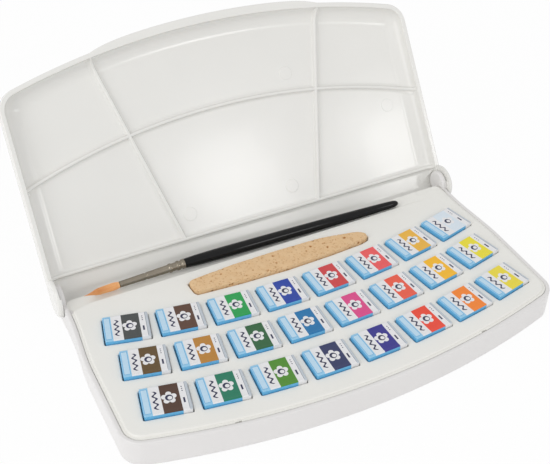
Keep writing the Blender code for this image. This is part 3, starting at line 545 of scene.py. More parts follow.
def base_shell():
    """The lower case: side walls with a rounded rim, a ledge, the lid's seat and the knuckles."""
    rings = [ring_at(plan(inset, BACK_Y - inset), rise)
             for inset, rise in low_edge(BASE_BOTTOM_ROUND)]
    rings += [ring_at(plan(inset, BACK_Y - inset), BASE_HEIGHT - below)
              for inset, below in high_edge(BASE_RIM_ROUND)]
    shell = loft("case", rings)

    seat_radius = LID_RADIUS + GAP
    side = HALF_WIDTH + OVERRUN
    below = BASE_WALL + LEDGE_WIDTH
    cavity = loft("cavity", [ring_at(plan(below, HINGE_Y), BASE_FLOOR),
                             ring_at(plan(below, HINGE_Y), LEDGE_Z)])
    rim_rings = [ring_at(plan(BASE_WALL, HINGE_Y), LEDGE_Z)]
    rim_rings += [ring_at(plan(BASE_WALL - grown, HINGE_Y), height)
                  for grown, height in flared(BASE_HEIGHT, BASE_RIM_ROUND)]
    combine(cavity, disc_on_hinge("wall_line", seat_radius + SEAT_WALL, -side, side))
    combine(shell, cavity)
    combine(shell, loft("rim_cut", rim_rings))
    combine(shell, disc_on_hinge("seat", seat_radius, -side, side))

    inner_x = BACK_HALF_WIDTH - BASE_WALL
    for half_width, level in ((inner_x, LEDGE_Z), (inner_x - LEDGE_WIDTH, GROOVE_UNDERSIDE - GAP)):
        combine(shell, block("wall_top_cut",
                             (-half_width, HINGE_Y - seat_radius - SEAT_WALL - OVERRUN, level),
                             (half_width, HINGE_Y, BASE_HEIGHT + OVERRUN)))
    slope = block("slope_cut", (-side, -BOX_DEPTH, -OVERRUN), (side, 0.0, seat_radius))
    slope.data.transform(TO_HINGE @ OPENED)
    combine(shell, slope)

    arm_front = HINGE_Y - seat_radius - OVERRUN
    for side_sign in (-1, 1):
        near, far = span(side_sign, inner_x, EAR_INNER_X - KNUCKLE_SIDE_GAP)
        rounds = (KNUCKLE_ROUND, 0.0) if side_sign > 0 else (0.0, KNUCKLE_ROUND)
        knuckle = disc_on_hinge("knuckle", KNUCKLE_RADIUS, near, far, rounds)
        arm_x = span(side_sign, inner_x + KNUCKLE_ARM_INSET, BACK_HALF_WIDTH - KNUCKLE_ARM_INSET)
        arm = block("arm", (arm_x[0], arm_front, HINGE_Z - KNUCKLE_ARM_DEPTH),
                    (arm_x[1], HINGE_Y, HINGE_Z))
        combine(knuckle, arm, "UNION")
        combine(shell, knuckle, "UNION")
        ends = span(side_sign, EAR_INNER_X - PIN_REACH - GAP, HALF_WIDTH + OVERRUN)
        combine(shell, disc_on_hinge("pin_hole", PIN_RADIUS + GAP, *ends, sides=PIN_SIDES))
    return settle(shell)


def pan_places():
    """Yield number, x, y and turn of each pan, from the back row's left."""
    centre_y = FRONT_Y + FRONT_ROW_SETBACK + FRONT_ROW_RADIUS
    middle = FRONT_ROW_RADIUS - FRONT_ROW_TO_MIDDLE_ROW
    radii = [middle - MIDDLE_ROW_TO_BACK_ROW, middle, FRONT_ROW_RADIUS]
    for row, radius in enumerate(radii):
        for column in range(PANS_IN_A_ROW):
            along = (column - (PANS_IN_A_ROW - 1) / 2) * PAN_PITCH + FAN_SHIFT
            angle = along / radius
            number = row * PANS_IN_A_ROW + column + 1
            yield number, *on_arc(radius, angle, centre_y), angle


def boxes_at_pans(name, levels):
    """One rounded box at each pan's place, from (length, depth, corner radius, height) levels."""
    bm = bmesh.new()
    for _, x, y, angle in pan_places():
        turn = Matrix.Translation((x, y, 0.0)) @ Matrix.Rotation(angle, 4, "Z")
        loft_into(bm, [[turn @ point for point in ring_at(rounded_rectangle(*size), height)]
                       for *size, height in levels])
    return place(name, to_mesh(bm, name))


def rounded_both(outline, low, high, radius):
    """Rings of an outline between two heights, drawn in round its lower and its upper edge."""
    return ([ring_at(outline(drawn_in), low + rise) for drawn_in, rise in low_edge(radius)]
            + [ring_at(outline(drawn_in), high - below) for drawn_in, below in high_edge(radius)])


def flared(rise, grow):
    """Sizes to add and heights for a lip that flares out in a quarter round and runs on up."""
    return ([(out, rise - below) for out, below in high_edge(grow)] + [(grow, rise + OVERRUN)])


def cut_up(points, spacing):
    """A path cut into short lengths, without its last point."""
    fine = []
    for here, after in zip(points, points[1:]):
        here, after = Vector(here), Vector(after)
        count = max(1, round((after - here).length / spacing))
        fine += [here.lerp(after, step / count) for step in range(count)]
    return fine


def eased_outline(points, spacing, passes):
    """A closed outline cut into short lengths, with its corners drawn in a little."""
    fine = cut_up(points + points[:1], spacing)
    for _ in range(passes):
        after = fine[1:] + fine[:1]
        fine = [(fine[index - 1] + here * 2 + after[index]) / 4 for index, here in enumerate(fine)]
    return [tuple(point) for point in fine]


def sponge_outline(clearance=0.0):
    """The strip's outline from above, with a clearance all round."""
    points = [(SPONGE_MIDDLE_X + along * SPONGE_LENGTH, SPONGE_FRONT_Y + across * SPONGE_WIDTH)
              for along, across in SPONGE_OUTLINE_SHARES]
    return offset(points, clearance)


def groove_profile(bottom):
    """The groove's cutting profile as (y, z): a fillet at its front, open at its back."""
    back = TRAY_BACK_Y + OVERRUN
    top = PLATEAU_Z + OVERRUN
    points = [(back, bottom)]
    points += [(GROOVE_FRONT_Y + inward, bottom + rise)
               for inward, rise in low_edge(GROOVE_FILLET, FILLET_STEPS)]
    points += [(GROOVE_FRONT_Y - out, PLATEAU_Z - below)
               for out, below in high_edge(GROOVE_LIP_ROUND)]
    return points + [(GROOVE_FRONT_Y - GROOVE_LIP_ROUND, top), (back, top)]


def groove_cutter(side_x):
    """The brush groove as a cutting shape. It flares at its left end and fades out at its right."""
    profile = groove_profile(GROOVE_Z)
    back = max(y for y, _ in profile)
    shares = [step / FADE_STEPS for step in range(FADE_STEPS + 1)]
    stations = [(-GROOVE_FLARE_START - (side_x - GROOVE_FLARE_START) * (1 - share), 1.0,
                 GROOVE_FLARE * (1 - share) * (1 - share)) for share in shares]
    stations += [(GROOVE_FADE_START + (GROOVE_FADE_END - GROOVE_FADE_START) * share,
                  1 - (1 - GROOVE_FADE_LEFT_SHARE) * ramp(share, 0.0, 1.0), 0.0)
                 for share in shares]
    return loft("groove", [[Vector((x, y if y == back else y - flare,
                                    PLATEAU_Z + (z - PLATEAU_Z) * (depth if z < PLATEAU_Z else 1)))
                            for y, z in profile] for x, depth, flare in stations])


def pan_tray():
    """The inner tray: a raised plateau with pockets for pans and sponge and the brush groove."""
    plateau_inset = TRAY_INSET + TRAY_FLANGE_WIDTH

    def ring(inset, height, back):
        return ring_at(plan(inset, back, TRAY_BACK_CORNER_RADIUS - inset), height)

    rings = [
        ring(TRAY_INSET, FLANGE_Z, TRAY_BACK_Y),
        ring(TRAY_INSET, FLANGE_TOP, TRAY_BACK_Y),
        ring(plateau_inset, FLANGE_TOP, TRAY_BACK_Y - GAP),
    ]
    rings += [ring(plateau_inset + drawn_in, PLATEAU_Z - below, TRAY_BACK_Y - GAP - drawn_in)
              for drawn_in, below in high_edge(PLATEAU_EDGE_ROUND)]
    tray = loft("inner_tray", rings)

    joint_z = FLANGE_Z + OVERLAP
    well_length = WRAPPER_LENGTH + 2 * GAP
    well_depth = WRAPPER_DEPTH + 2 * GAP
    well_floor = WRAPPER_Z - GAP
    wall = 2 * POCKET_WALL
    corner = POCKET_CORNER_RADIUS
    outside = (well_length + wall, well_depth + wall, corner + POCKET_WALL)
    combine(tray, boxes_at_pans("pockets", [(*outside, well_floor - POCKET_WALL),
                                            (*outside, joint_z)]), "UNION")
    sponge_floor = SPONGE_Z - GAP
    around = sponge_outline(SPONGE_SIDE_GAP + POCKET_WALL)
    combine(tray, loft("sponge_pocket", [ring_at(around, sponge_floor - POCKET_WALL),
                                         ring_at(around, joint_z)]), "UNION")

    side_x = BACK_HALF_WIDTH + OVERRUN
    under = block("groove_floor",
                  (-side_x, GROOVE_FRONT_Y - POCKET_WALL - GROOVE_FLARE, GROOVE_UNDERSIDE),
                  (GROOVE_RIGHT_END + POCKET_WALL, TRAY_BACK_Y + OVERRUN, joint_z))
    clear_of_ledge = TRAY_INSET + LEDGE_WIDTH
    limits = plan(clear_of_ledge, TRAY_BACK_Y - GAP, TRAY_BACK_CORNER_RADIUS - clear_of_ledge)
    combine(under, loft("limits", [ring_at(limits, GROOVE_UNDERSIDE - OVERRUN),
                                   ring_at(limits, PLATEAU_Z)]), "INTERSECT")
    combine(tray, under, "UNION")
    behind = block("groove_ends", (-side_x, HINGE_Y - LID_RADIUS, GROOVE_Z - GROOVE_FLOOR / 2),
                   (side_x, TRAY_BACK_Y + OVERRUN, joint_z))
    limits = plan(TRAY_INSET, TRAY_BACK_Y - GAP, TRAY_BACK_CORNER_RADIUS - TRAY_INSET)
    combine(behind, loft("end_limits", [ring_at(limits, GROOVE_UNDERSIDE), ring_at(limits, PLATEAU_Z)]),
            "INTERSECT")
    combine(tray, behind, "UNION")

    levels = [(well_length, well_depth, corner, well_floor)]
    for grow, height in flared(PLATEAU_Z, POCKET_LIP_ROUND):
        levels.append((well_length + 2 * grow, well_depth + 2 * grow, corner + grow, height))
    combine(tray, boxes_at_pans("wells", levels))
    inside = [ring_at(sponge_outline(SPONGE_SIDE_GAP), sponge_floor)]
    for grow, height in flared(PLATEAU_Z, POCKET_LIP_ROUND):
        inside.append(ring_at(sponge_outline(SPONGE_SIDE_GAP + grow), height))
    combine(tray, loft("sponge_well", inside))
    combine(tray, groove_cutter(side_x))

    for side_sign in (-1, 1):
        x = side_sign * NOTCH_X
        edge_y = arc_y(FRONT_ARC_RADIUS - TRAY_INSET, x)
        combine(tray, block("notch",
                            (x - NOTCH_WIDTH / 2, edge_y - OVERRUN, FLANGE_Z - OVERRUN),
                            (x + NOTCH_WIDTH / 2, edge_y + TRAY_FLANGE_WIDTH / 2,
                             PLATEAU_Z + OVERRUN)))
    return settle(tray)


def lid_rings(inset, low, high, edge_width, edge_depth, rim_round):
    """Rings of the lid's plan between two levels: the high edge rounded, the rim eased."""
    steps = [(inset + eased, low + abs(rise)) for eased, rise in low_edge(rim_round)]
    steps += [(inset + edge_width * drawn_in, high - edge_depth * below)
              for drawn_in, below in high_edge(1.0, FILLET_STEPS)]
    return [ring_at(plan(drawn_in, HINGE_Y, narrows=False), height) for drawn_in, height in steps]


def rib_section():
    """The rib's cross section as (half width, depth below the palette), from foot to crest."""
    return curve_through([(half, RIB_HEIGHT * share) for half, share in RIB_SECTION],
                         RIB_SECTION_STEPS)


def fillet_rise(spot):
    """How far the fillet round the lid's inside stands over the palette at a place."""
    to_side = EAR_INNER_X - abs(spot.x)
    to_front = (FRONT_ARC_RADIUS - LID_WALL
                - math.hypot(spot.x, spot.y - FRONT_Y - FRONT_ARC_RADIUS))
    share = 1 - min(to_side, to_front) / LID_FILLET_WIDTH
    share = min(max(share, 0.0), RIB_CLIMB_SHARE)
    return LID_FILLET_DEPTH * (1 - math.sqrt(1 - share * share))


def rib_solid(name, path):
    """A rib along a path on the palette and up its fillet, with a soft foot and crest."""
    path = cut_up(path, RIB_SPACING) + [Vector(path[-1])]
    section = rib_section()
    outline = [(section[0][0], -OVERLAP)] + section
    outline += [(-half, depth) for half, depth in reversed(outline[:-1])]
    rings = []
    for index, point in enumerate(path):
        ahead = (path[min(index + 1, len(path) - 1)] - path[max(index - 1, 0)]).normalized()
        across = Vector((-ahead.y, ahead.x))
        level = PALETTE_Z - fillet_rise(point)
        rings.append([Vector((*(point + across * half), level - depth)) for half, depth in outline])
    return loft(name, rings)


def add_ribs(lid):
    """The arc rib, the two radial ribs and the back rib, each trimmed to the lid's inside."""
    radius = FRONT_ARC_RADIUS - ARC_RIB_FROM_FRONT
    wall_x = EAR_INNER_X + LID_WALL / 2
    spread = math.asin(wall_x / radius)
    arc = [on_arc(radius, spread * (step / FRONT_STEPS - 1)) for step in range(2 * FRONT_STEPS + 1)]
    combine(lid, rib_solid("arc_rib", arc), "UNION")

    back_rib_y = HINGE_Y - BACK_RIB_BEFORE_HINGE
    combine(lid, rib_solid("back_rib", [(-wall_x, back_rib_y), (wall_x, back_rib_y)]), "UNION")
    front_y = arc_y(FRONT_ARC_RADIUS - LID_WALL / 2, RADIAL_RIB_FRONT_X)
    for side_sign in (-1, 1):
        path = [(side_sign * RADIAL_RIB_FRONT_X, front_y),
                (side_sign * RADIAL_RIB_BACK_X, back_rib_y)]
        combine(lid, rib_solid("radial_rib", path), "UNION")


def thumb_lip():
    """The lip on the lid's front edge, a crescent that follows the front arc."""
    spread = math.asin(THUMB_LIP_LENGTH / 2 / FRONT_ARC_RADIUS)

    def outline(drawn_in):
        outer = []
        inner = []
        for step in range(FRONT_STEPS + 1):
            share = 2 * step / FRONT_STEPS - 1
            proud = (THUMB_LIP_DEPTH - drawn_in) * (1 - abs(share) ** THUMB_LIP_END_POWER)
            outer.append(on_arc(FRONT_ARC_RADIUS - OVERLAP / 4 + proud, spread * share))
            inner.append(on_arc(FRONT_ARC_RADIUS - LID_WALL / 2, spread * share))
        return outer + list(reversed(inner))

    return loft("thumb_lip", rounded_both(outline, LID_RIM, LID_RIM + THUMB_LIP_HEIGHT,
                                          THUMB_LIP_ROUND))


def add_ejector_marks(lid):
    """Faint flat discs on the palette, where the mould's ejector pins pushed."""
    for x, y in EJECTOR_PLACES:
        rings = [ring_at(circle(radius, PIN_SIDES, (x, y)), PALETTE_Z - depth)
                 for radius, depth in ((EJECTOR_RADIUS, -OVERLAP), (EJECTOR_RADIUS, 0.0),
                                       (EJECTOR_RADIUS - EJECTOR_RISE, EJECTOR_RISE))]
        combine(lid, loft("ejector_mark", rings), "UNION")


def palette_lid():
    """The lid, whose inside is the mixing palette, with a round back, ears and hinge pins."""
    lid = loft("lid_shell", lid_rings(0.0, LID_RIM, LID_TOP, LID_EDGE_ROUND, LID_EDGE_ROUND,
                                       LID_RIM_ROUND))
    combine(lid, disc_on_hinge("barrel", LID_RADIUS, -HALF_WIDTH, HALF_WIDTH,
                               (LID_EDGE_ROUND, LID_EDGE_ROUND), steps=FILLET_STEPS), "UNION")
    combine(lid, thumb_lip(), "UNION")

    combine(lid, loft("hollow", [ring_at(plan(LID_WALL - LID_RIM_ROUND, HINGE_Y, narrows=False),
                                         HINGE_Z - LID_RADIUS)]
                      + lid_rings(LID_WALL, LID_RIM, PALETTE_Z, LID_FILLET_WIDTH,
                                  LID_FILLET_DEPTH, -LID_RIM_ROUND)))
    combine(lid, disc_on_hinge("inner", LID_RADIUS - LID_SKIN, -EAR_INNER_X, EAR_INNER_X))
    reach = 2 * LID_RADIUS
    low = math.radians(-BARREL_BELOW_AXIS_DEG)
    wedge = [(0.0, 0.0), (-reach, 0.0), (-reach, -reach), (reach, -reach),
             (reach * math.cos(low), reach * math.sin(low))]
    wedge = [(HINGE_Y + y, HINGE_Z + z) for y, z in wedge]
    combine(lid, along_x("wedge", wedge, -EAR_INNER_X, EAR_INNER_X))
    add_ribs(lid)
    add_ejector_marks(lid)
    for side_sign in (-1, 1):
        ends = span(side_sign, EAR_INNER_X + LID_WALL / 2, EAR_INNER_X - PIN_REACH)
        combine(lid, disc_on_hinge("pin", PIN_RADIUS, *ends, sides=PIN_SIDES), "UNION")
    settle(lid)
    lid.data.transform(TO_HINGE @ OPENED @ Matrix.Translation(-HINGE_PLACE))
    return lid


# Wrapper paper: its box's grid, the relief of the cup's rim, and the least turn (radians) of a fold
PAPER_GRID = (36, 26, 16)
PAPER_RELIEF = 0.00016
PAPER_CRINKLE = 0.00004
PAPER_CRINKLE_SIZE = 0.0035
PAPER_SUNK_X = (-0.0066, 0.0088)
PAPER_SUNK_HALF_Y = 0.0073
PAPER_SLOPE = 0.0007
PAPER_FOLD_OVER = 1.0


def lattice_box(size, counts):
    """A box whose sides are divided into a grid, standing on the origin."""
    bm = bmesh.new()
    made = {}

    def vertex(spot):
        if spot not in made:
            share = [spot[axis] / counts[axis] for axis in range(3)]
            made[spot] = bm.verts.new(((share[0] - 0.5) * size[0], (share[1] - 0.5) * size[1],
                                       share[2] * size[2]))
        return made[spot]

    for axis in range(3):
        across = (axis + 1) % 3
        up = (axis + 2) % 3
        for end in (0, counts[axis]):
            for i in range(counts[across]):
                for j in range(counts[up]):
                    corners = []
                    for di, dj in ((0, 0), (1, 0), (1, 1), (0, 1)):
                        spot = [0, 0, 0]
                        spot[axis] = end
                        spot[across] = i + di
                        spot[up] = j + dj
                        corners.append(vertex(tuple(spot)))
                    bm.faces.new(corners)
    bmesh.ops.recalc_face_normals(bm, faces=bm.faces)
    return bm


def ramp(value, low, high):
    """0 below low, 1 above high, eased between."""
    share = min(max((value - low) / (high - low), 0.0), 1.0)
    return share * share * (3 - 2 * share)


def wrapper_mesh():
    """A printed paper wrapper round its cup: rounded folds, a slight relief and end flaps."""
    size = (WRAPPER_LENGTH - 4 * FLAP_THICKNESS, WRAPPER_DEPTH, WRAPPER_HEIGHT)
    bm = lattice_box(size, PAPER_GRID)
    corners = [edge for edge in bm.edges if edge.calc_face_angle() > PAPER_FOLD_OVER]
    bmesh.ops.bevel(bm, geom=corners, offset=WRAPPER_EDGE, segments=WRAPPER_EDGE_STEPS, profile=0.5,
                    affect="EDGES", clamp_overlap=True)
    for vert in bm.verts:
        x, y, z = vert.co
        top = ramp(z, WRAPPER_HEIGHT - 2 * WRAPPER_EDGE, WRAPPER_HEIGHT - WRAPPER_EDGE / 2)
        sunk = (ramp(x, PAPER_SUNK_X[0], PAPER_SUNK_X[0] + PAPER_SLOPE)
                * ramp(-x, -PAPER_SUNK_X[1], PAPER_SLOPE - PAPER_SUNK_X[1])
                * ramp(PAPER_SUNK_HALF_Y - abs(y), 0.0, PAPER_SLOPE))
        crinkle = noise.noise(vert.co / PAPER_CRINKLE_SIZE) - 1.0
        vert.co.z -= top * (sunk * PAPER_RELIEF - crinkle * PAPER_CRINKLE)
    inner = lattice_box((WRAPPER_LENGTH - 2 * WRAPPER_FOIL, WRAPPER_DEPTH - 2 * WRAPPER_FOIL,
                         WRAPPER_HEIGHT - 2 * WRAPPER_FOIL), CUP_SPACE_GRID)
    bmesh.ops.translate(inner, verts=inner.verts, vec=(0.0, 0.0, WRAPPER_FOIL))
    bmesh.ops.reverse_faces(inner, faces=inner.faces)
    for end in (-1, 1):
        for layer, outline in enumerate(FLAP_OUTLINES):
            near = size[0] / 2 - FLAP_THICKNESS / 2 + layer * FLAP_THICKNESS
            far = size[0] / 2 + (layer + 1) * FLAP_THICKNESS
            loft_into(bm, [ring_across(outline, end * x) for x in (near, far)])
    mesh = to_mesh(bm, "wrapper")
    hollow = bpy.data.meshes.new("hollow")
    inner.to_mesh(hollow)
    inner.free()
    bm = bmesh.new()
    bm.from_mesh(mesh)
    bm.from_mesh(hollow)
    bm.to_mesh(mesh)
    bm.free()
    mesh.shade_smooth()
    mesh.set_sharp_from_angle(angle=math.radians(SMOOTH_UNDER_DEG))
    return mesh


def brush_handle():
    """The lacquered handle: a long taper with a full belly and a rounded end."""
    points = [(along * HANDLE_LENGTH, radius * HANDLE_DIAMETER / 2)
              for along, radius in HANDLE_PROFILE_SHARES]
    points.append((HANDLE_LENGTH, HANDLE_TIP_RADIUS))
    handle = turned("lacquered_handle", curve_through(points, HANDLE_STEPS), BRUSH_SIDES)
    return settle(handle)


def ferrule_radius(along):
    """The ferrule's plain taper, from the handle to the hair."""
    wide = FERRULE_HANDLE_DIAMETER / 2
    narrow = FERRULE_MOUTH_DIAMETER / 2
    return wide + (narrow - wide) * along / FERRULE_LENGTH


def brush_ferrule():
    """The metal tube between handle and hair, with a collar, two beads and a crimp."""
    swellings = [(middle, BEAD_HALF_WIDTH, BEAD_HEIGHT) for middle in FERRULE_BEADS]
    swellings.append((FERRULE_CRIMP, CRIMP_HALF_WIDTH, -BEAD_HEIGHT / 2))
    outside = []
    for step in range(FERRULE_STEPS + 1):
        along = FERRULE_LENGTH * step / FERRULE_STEPS
        radius = ferrule_radius(along)
        radius += BEAD_HEIGHT * ramp(-along, -FERRULE_COLLAR - BEAD_HEIGHT, -FERRULE_COLLAR)
        for middle, half, height in swellings:
            share = abs(along - middle) / half
            if share < 1:
                radius += height * math.sqrt(1 - share * share)
        outside.append((-along, radius))
    bore = [(OVERRUN, ferrule_radius(0.0) - FERRULE_WALL),
            (-FERRULE_CRIMP, ferrule_radius(FERRULE_CRIMP) - FERRULE_WALL - BEAD_HEIGHT / 2),
            (-FERRULE_LENGTH - OVERRUN, ferrule_radius(FERRULE_LENGTH) - FERRULE_WALL)]
    ferrule = turned("nickel_ferrule", list(reversed(outside)), BRUSH_SIDES)
    combine(ferrule, turned("bore", list(reversed(bore)), BRUSH_SIDES))
    return settle(ferrule)


def hair_scale(along):
    """How far the hair spreads from its axis at a share of its length, 1 at the belly."""
    for (start, low), (end, high) in zip(HAIR_STATION_SHARES, HAIR_STATION_SHARES[1:]):
        if along <= end:
            return low + (high - low) * (along - start) / (end - start)
    return HAIR_STATION_SHARES[-1][1]


def strand_centres():
    """Places of the strands at the belly, in a hexagonal pattern, as (y, z)."""
    reach = HAIR_BELLY_DIAMETER / 2 - STRAND_SPACING * BUNDLE_EDGE_SHARE
    rows = int(reach / STRAND_SPACING) + 1
    step = 2 * STRAND_SPACING / math.sqrt(3)
    rise = math.sqrt(3) / 2
    found = []
    for row in range(-2 * rows, 2 * rows + 1):
        for column in range(-2 * rows, 2 * rows + 1):
            y = step * (column + row % 2 / 2)
            z = step * rise * row
            if math.hypot(y, z) <= reach:
                found.append((y, z))
    return found


def brush_hair():
    """The hair: fine tapering strands that rise from a round backing and meet in a point."""
    reach = HAIR_BELLY_DIAMETER / 2
    width = STRAND_SPACING * STRAND_FILL_SHARE
    bm = bmesh.new()
    backing = circle(hair_scale(0.0) * reach, BRUSH_SIDES)
    loft_into(bm, [ring_across(backing, x) for x in (0.0, HAIR_BACKING)])
    for y, z in strand_centres():
        from_axis = math.hypot(y, z) / reach
        end = 1 - (1 - HAIR_SHORTEST_STRAND_SHARE) * from_axis
        stations = [share for share, _ in HAIR_STATION_SHARES if share < end] + [end]
        rings = []
        for share in stations:
            scale = hair_scale(share)
            x = HAIR_BACKING / 2 if share == 0.0 else (HAIR_BACKING
                                                       + share * (HAIR_LENGTH - HAIR_BACKING))
            thin = scale * width * (1 - STRAND_THINNING_SHARE * (share / end) ** 2)
            rings.append(ring_across(circle(thin, STRAND_SIDES, (scale * y, scale * z)), x))
        loft_into(bm, rings)
    hair = place("hair_tuft", to_mesh(bm, "hair_tuft"))
    hair.data.transform(Matrix.Scale(-1, 4, (1, 0, 0)))
    hair.data.flip_normals()
    hair.data.shade_smooth()
    hair.data.set_sharp_from_angle(angle=math.radians(2 * SMOOTH_UNDER_DEG))
    return hair


def brush():
    """The brush in its groove. Its ferrule sits a little crooked on its handle."""
    start = Vector((HANDLE_START_X, HINGE_Y - HANDLE_START_BEFORE_HINGE, BRUSH_Z))
    turn = Matrix.Rotation(math.radians(FERRULE_ASKEW_DEG), 4, "Z")
    pieces = [(brush_handle(), 0.0, HANDLE_ASKEW_DEG), (brush_ferrule(), GAP, FERRULE_ASKEW_DEG),
              (brush_hair(), FERRULE_LENGTH + 2 * GAP, FERRULE_ASKEW_DEG)]
    for piece, back, askew in pieces:
        piece.location = start + turn @ Vector((-back, 0.0, 0.0))
        piece.rotation_euler = (0.0, 0.0, math.radians(askew))
    return [piece for piece, _, _ in pieces]


def sponge():
    """The strip of sponge: remeshed finely, then pitted with pores of several sizes."""
    fine = eased_outline(sponge_outline(), SPONGE_OUTLINE_SPACING, SPONGE_OUTLINE_PASSES)
    strip = loft("sponge_strip", rounded_both(lambda drawn_in: offset(fine, -drawn_in), SPONGE_Z,
                                              SPONGE_Z + SPONGE_THICKNESS, SPONGE_EDGE_ROUND))
    step = strip.modifiers.new("grid", "REMESH")
    step.mode = "VOXEL"
    step.voxel_size = SPONGE_VOXEL
    bake_modifiers(strip)
    mesh = strip.data
    count = len(mesh.vertices)
    spots, normals = np.zeros((count, 3)), np.zeros((count, 3))
    mesh.vertices.foreach_get("co", spots.reshape(-1))
    mesh.vertex_normals.foreach_get("vector", normals.reshape(-1))
    tree = kdtree.KDTree(count)
    for index, spot in enumerate(spots):
        tree.insert(spot, index)
    tree.balance()
    draw = random.Random(SPONGE_SEED)
    pit = np.zeros(count)
    for total, radii in ((SPONGE_PORES, SPONGE_PORE_RADII), (SPONGE_BIG_PORES, SPONGE_BIG_PORE_RADII)):
        for _ in range(total):
            middle = spots[draw.randrange(count)]
            radius = draw.uniform(*radii)
            stretch = draw.uniform(*SPONGE_PORE_STRETCH)
            for _, index, distance in tree.find_range(middle, radius):
                depth = radius * stretch * (1 - (distance / radius) ** 2)
                pit[index] = max(pit[index], depth * SPONGE_PORE_DEPTH_SHARE)
    moved = spots - normals * pit[:, None]
    mesh.vertices.foreach_set("co", moved.ravel())
    # The pores' depth, which the foam's finish turns into painted shade
    shade = mesh.attributes.new("pit", "FLOAT", "POINT")
    shade.data.foreach_set("value", np.clip(pit / SPONGE_PORE_RADII[1], 0.0, 1.0).astype(np.float32))
    mesh.shade_smooth()
    return strip


class Field:
    """A number that varies over a surface: a node's output, with plain arithmetic."""

    def __init__(self, tree, socket):
        self.tree = tree
        self.socket = socket

    def math(self, kind, *others, clamp=False):
        node = self.tree.nodes.new("ShaderNodeMath")
        node.operation = kind
        node.use_clamp = clamp
        for slot, value in zip(node.inputs, (self, *others)):
            if isinstance(value, Field):
                self.tree.links.new(value.socket, slot)
            else:
                slot.default_value = value
        return Field(self.tree, node.outputs[0])

    def __add__(self, other):
        return self.math("ADD", other)

    def __sub__(self, other):
        return self.math("SUBTRACT", other)

    def __mul__(self, other):
        return self.math("MULTIPLY", other)

    def clamp(self):
        return self.math("ADD", 0.0, clamp=True)

    def either(self, other):
        return self.math("MAXIMUM", other)


def linear(colour):
    """A screen colour from 0 to 255 as the shader's red, green, blue and alpha."""
    shares = [value / 255 for value in colour]
    return (*[share / 12.92 if share <= 0.04045 else ((share + 0.055) / 1.055) ** 2.4
              for share in shares], 1.0)


class Finish:
    """A procedural material with the nodes that the finishes here share."""

    def __init__(self, name, metallic=0.0, ior=1.5):
        self.material = bpy.data.materials.new(name)
        self.material.use_nodes = True
        self.tree = self.material.node_tree
        self.shader = self.tree.nodes["Principled BSDF"]
        self.shader.inputs["Metallic"].default_value = metallic
        self.shader.inputs["IOR"].default_value = ior
        coordinates = self.tree.nodes.new("ShaderNodeTexCoord")
        self.place = coordinates.outputs["Object"]
        self.height = None

    def axes(self):
        """The place on the object in millimetres, as three fields."""
        node = self.tree.nodes.new("ShaderNodeSeparateXYZ")
        self.tree.links.new(self.place, node.inputs[0])
        return [Field(self.tree, socket) * (1 / MM) for socket in node.outputs]

    def noise(self, size, detail=3.0, stretch=(1.0, 1.0, 1.0)):
        """Noise whose features are about this size in metres, from 0 to 1."""
        mapping = self.tree.nodes.new("ShaderNodeMapping")
        mapping.inputs["Scale"].default_value = stretch
        self.tree.links.new(self.place, mapping.inputs["Vector"])
        node = self.tree.nodes.new("ShaderNodeTexNoise")
        node.inputs["Scale"].default_value = 1 / size
        node.inputs["Detail"].default_value = detail
        self.tree.links.new(mapping.outputs[0], node.inputs["Vector"])
        return Field(self.tree, node.outputs[0])

    def attribute(self, name):
        """A value kept on the mesh's points."""
        node = self.tree.nodes.new("ShaderNodeAttribute")
        node.attribute_name = name
        return Field(self.tree, node.outputs["Fac"])

    def blend(self, mask, low, high):
        """One colour where the mask is 0, another where it is 1."""
        node = self.tree.nodes.new("ShaderNodeMix")
        node.data_type = "RGBA"
        self.tree.links.new(mask.socket, node.inputs["Factor"])
        for slot, colour in ((node.inputs[6], low), (node.inputs[7], high)):
            if isinstance(colour, tuple):
                slot.default_value = linear(colour)
            else:
                self.tree.links.new(colour, slot)
        return node.outputs[2]

    def vary(self, noise, colour, shifts):
        """A colour that varies with a noise between two shifts of it."""
        return self.blend(noise, *[shifted(colour, by) for by in shifts])

    def colour(self, socket):
        self.tree.links.new(socket, self.shader.inputs["Base Color"])

    def roughness(self, field, rise, least):
        rough = field * rise + least
        self.tree.links.new(rough.socket, self.shader.inputs["Roughness"])

    def bump(self, field, height):
        """Raise the surface by up to a height in metres where the field is 1."""
        node = self.tree.nodes.new("ShaderNodeBump")
        node.inputs["Distance"].default_value = height
        self.tree.links.new(field.socket, node.inputs["Height"])
        if self.height:
            self.tree.links.new(self.height, node.inputs["Normal"])
        self.height = node.outputs["Normal"]
        self.tree.links.new(self.height, self.shader.inputs["Normal"])


def shifted(colour, by):
    """A colour made lighter or darker by so many steps of 255."""
    return tuple(min(max(value + by, 0), 255) for value in colour)


def moulded_plastic(name, colour, roughness):
    """Glossy moulded plastic: faint clouding, a fine skin, light scuffs and slow waves."""
    finish = Finish(name, ior=PLASTIC_IOR)
    clouds = finish.noise(*CLOUDS)
    finish.colour(finish.vary(clouds, colour, PLASTIC_SHIFTS))
    marks = clouds * CLOUD_ROUGHNESS + finish.noise(*SCUFFS) * SCUFF_ROUGHNESS
    finish.roughness(marks, 1.0, roughness - (CLOUD_ROUGHNESS + SCUFF_ROUGHNESS) / 2)
    for waves, height in PLASTIC_BUMPS:
        finish.bump(finish.noise(*waves), height)
    return finish.material


SHARPNESS = 14.0


def band(value, low, high):
    """1 where a field lies between two limits, with a thin soft edge."""
    return ((value - low) * SHARPNESS).clamp() * ((value * -1.0 + high) * SHARPNESS).clamp()


def disc(u, v, middle_u, middle_v, radius):
    """1 inside a circle."""
    du = u - middle_u
    dv = v - middle_v
    far = (du * du + dv * dv).math("SQRT")
    return ((far * -1.0 + radius) * SHARPNESS).clamp()
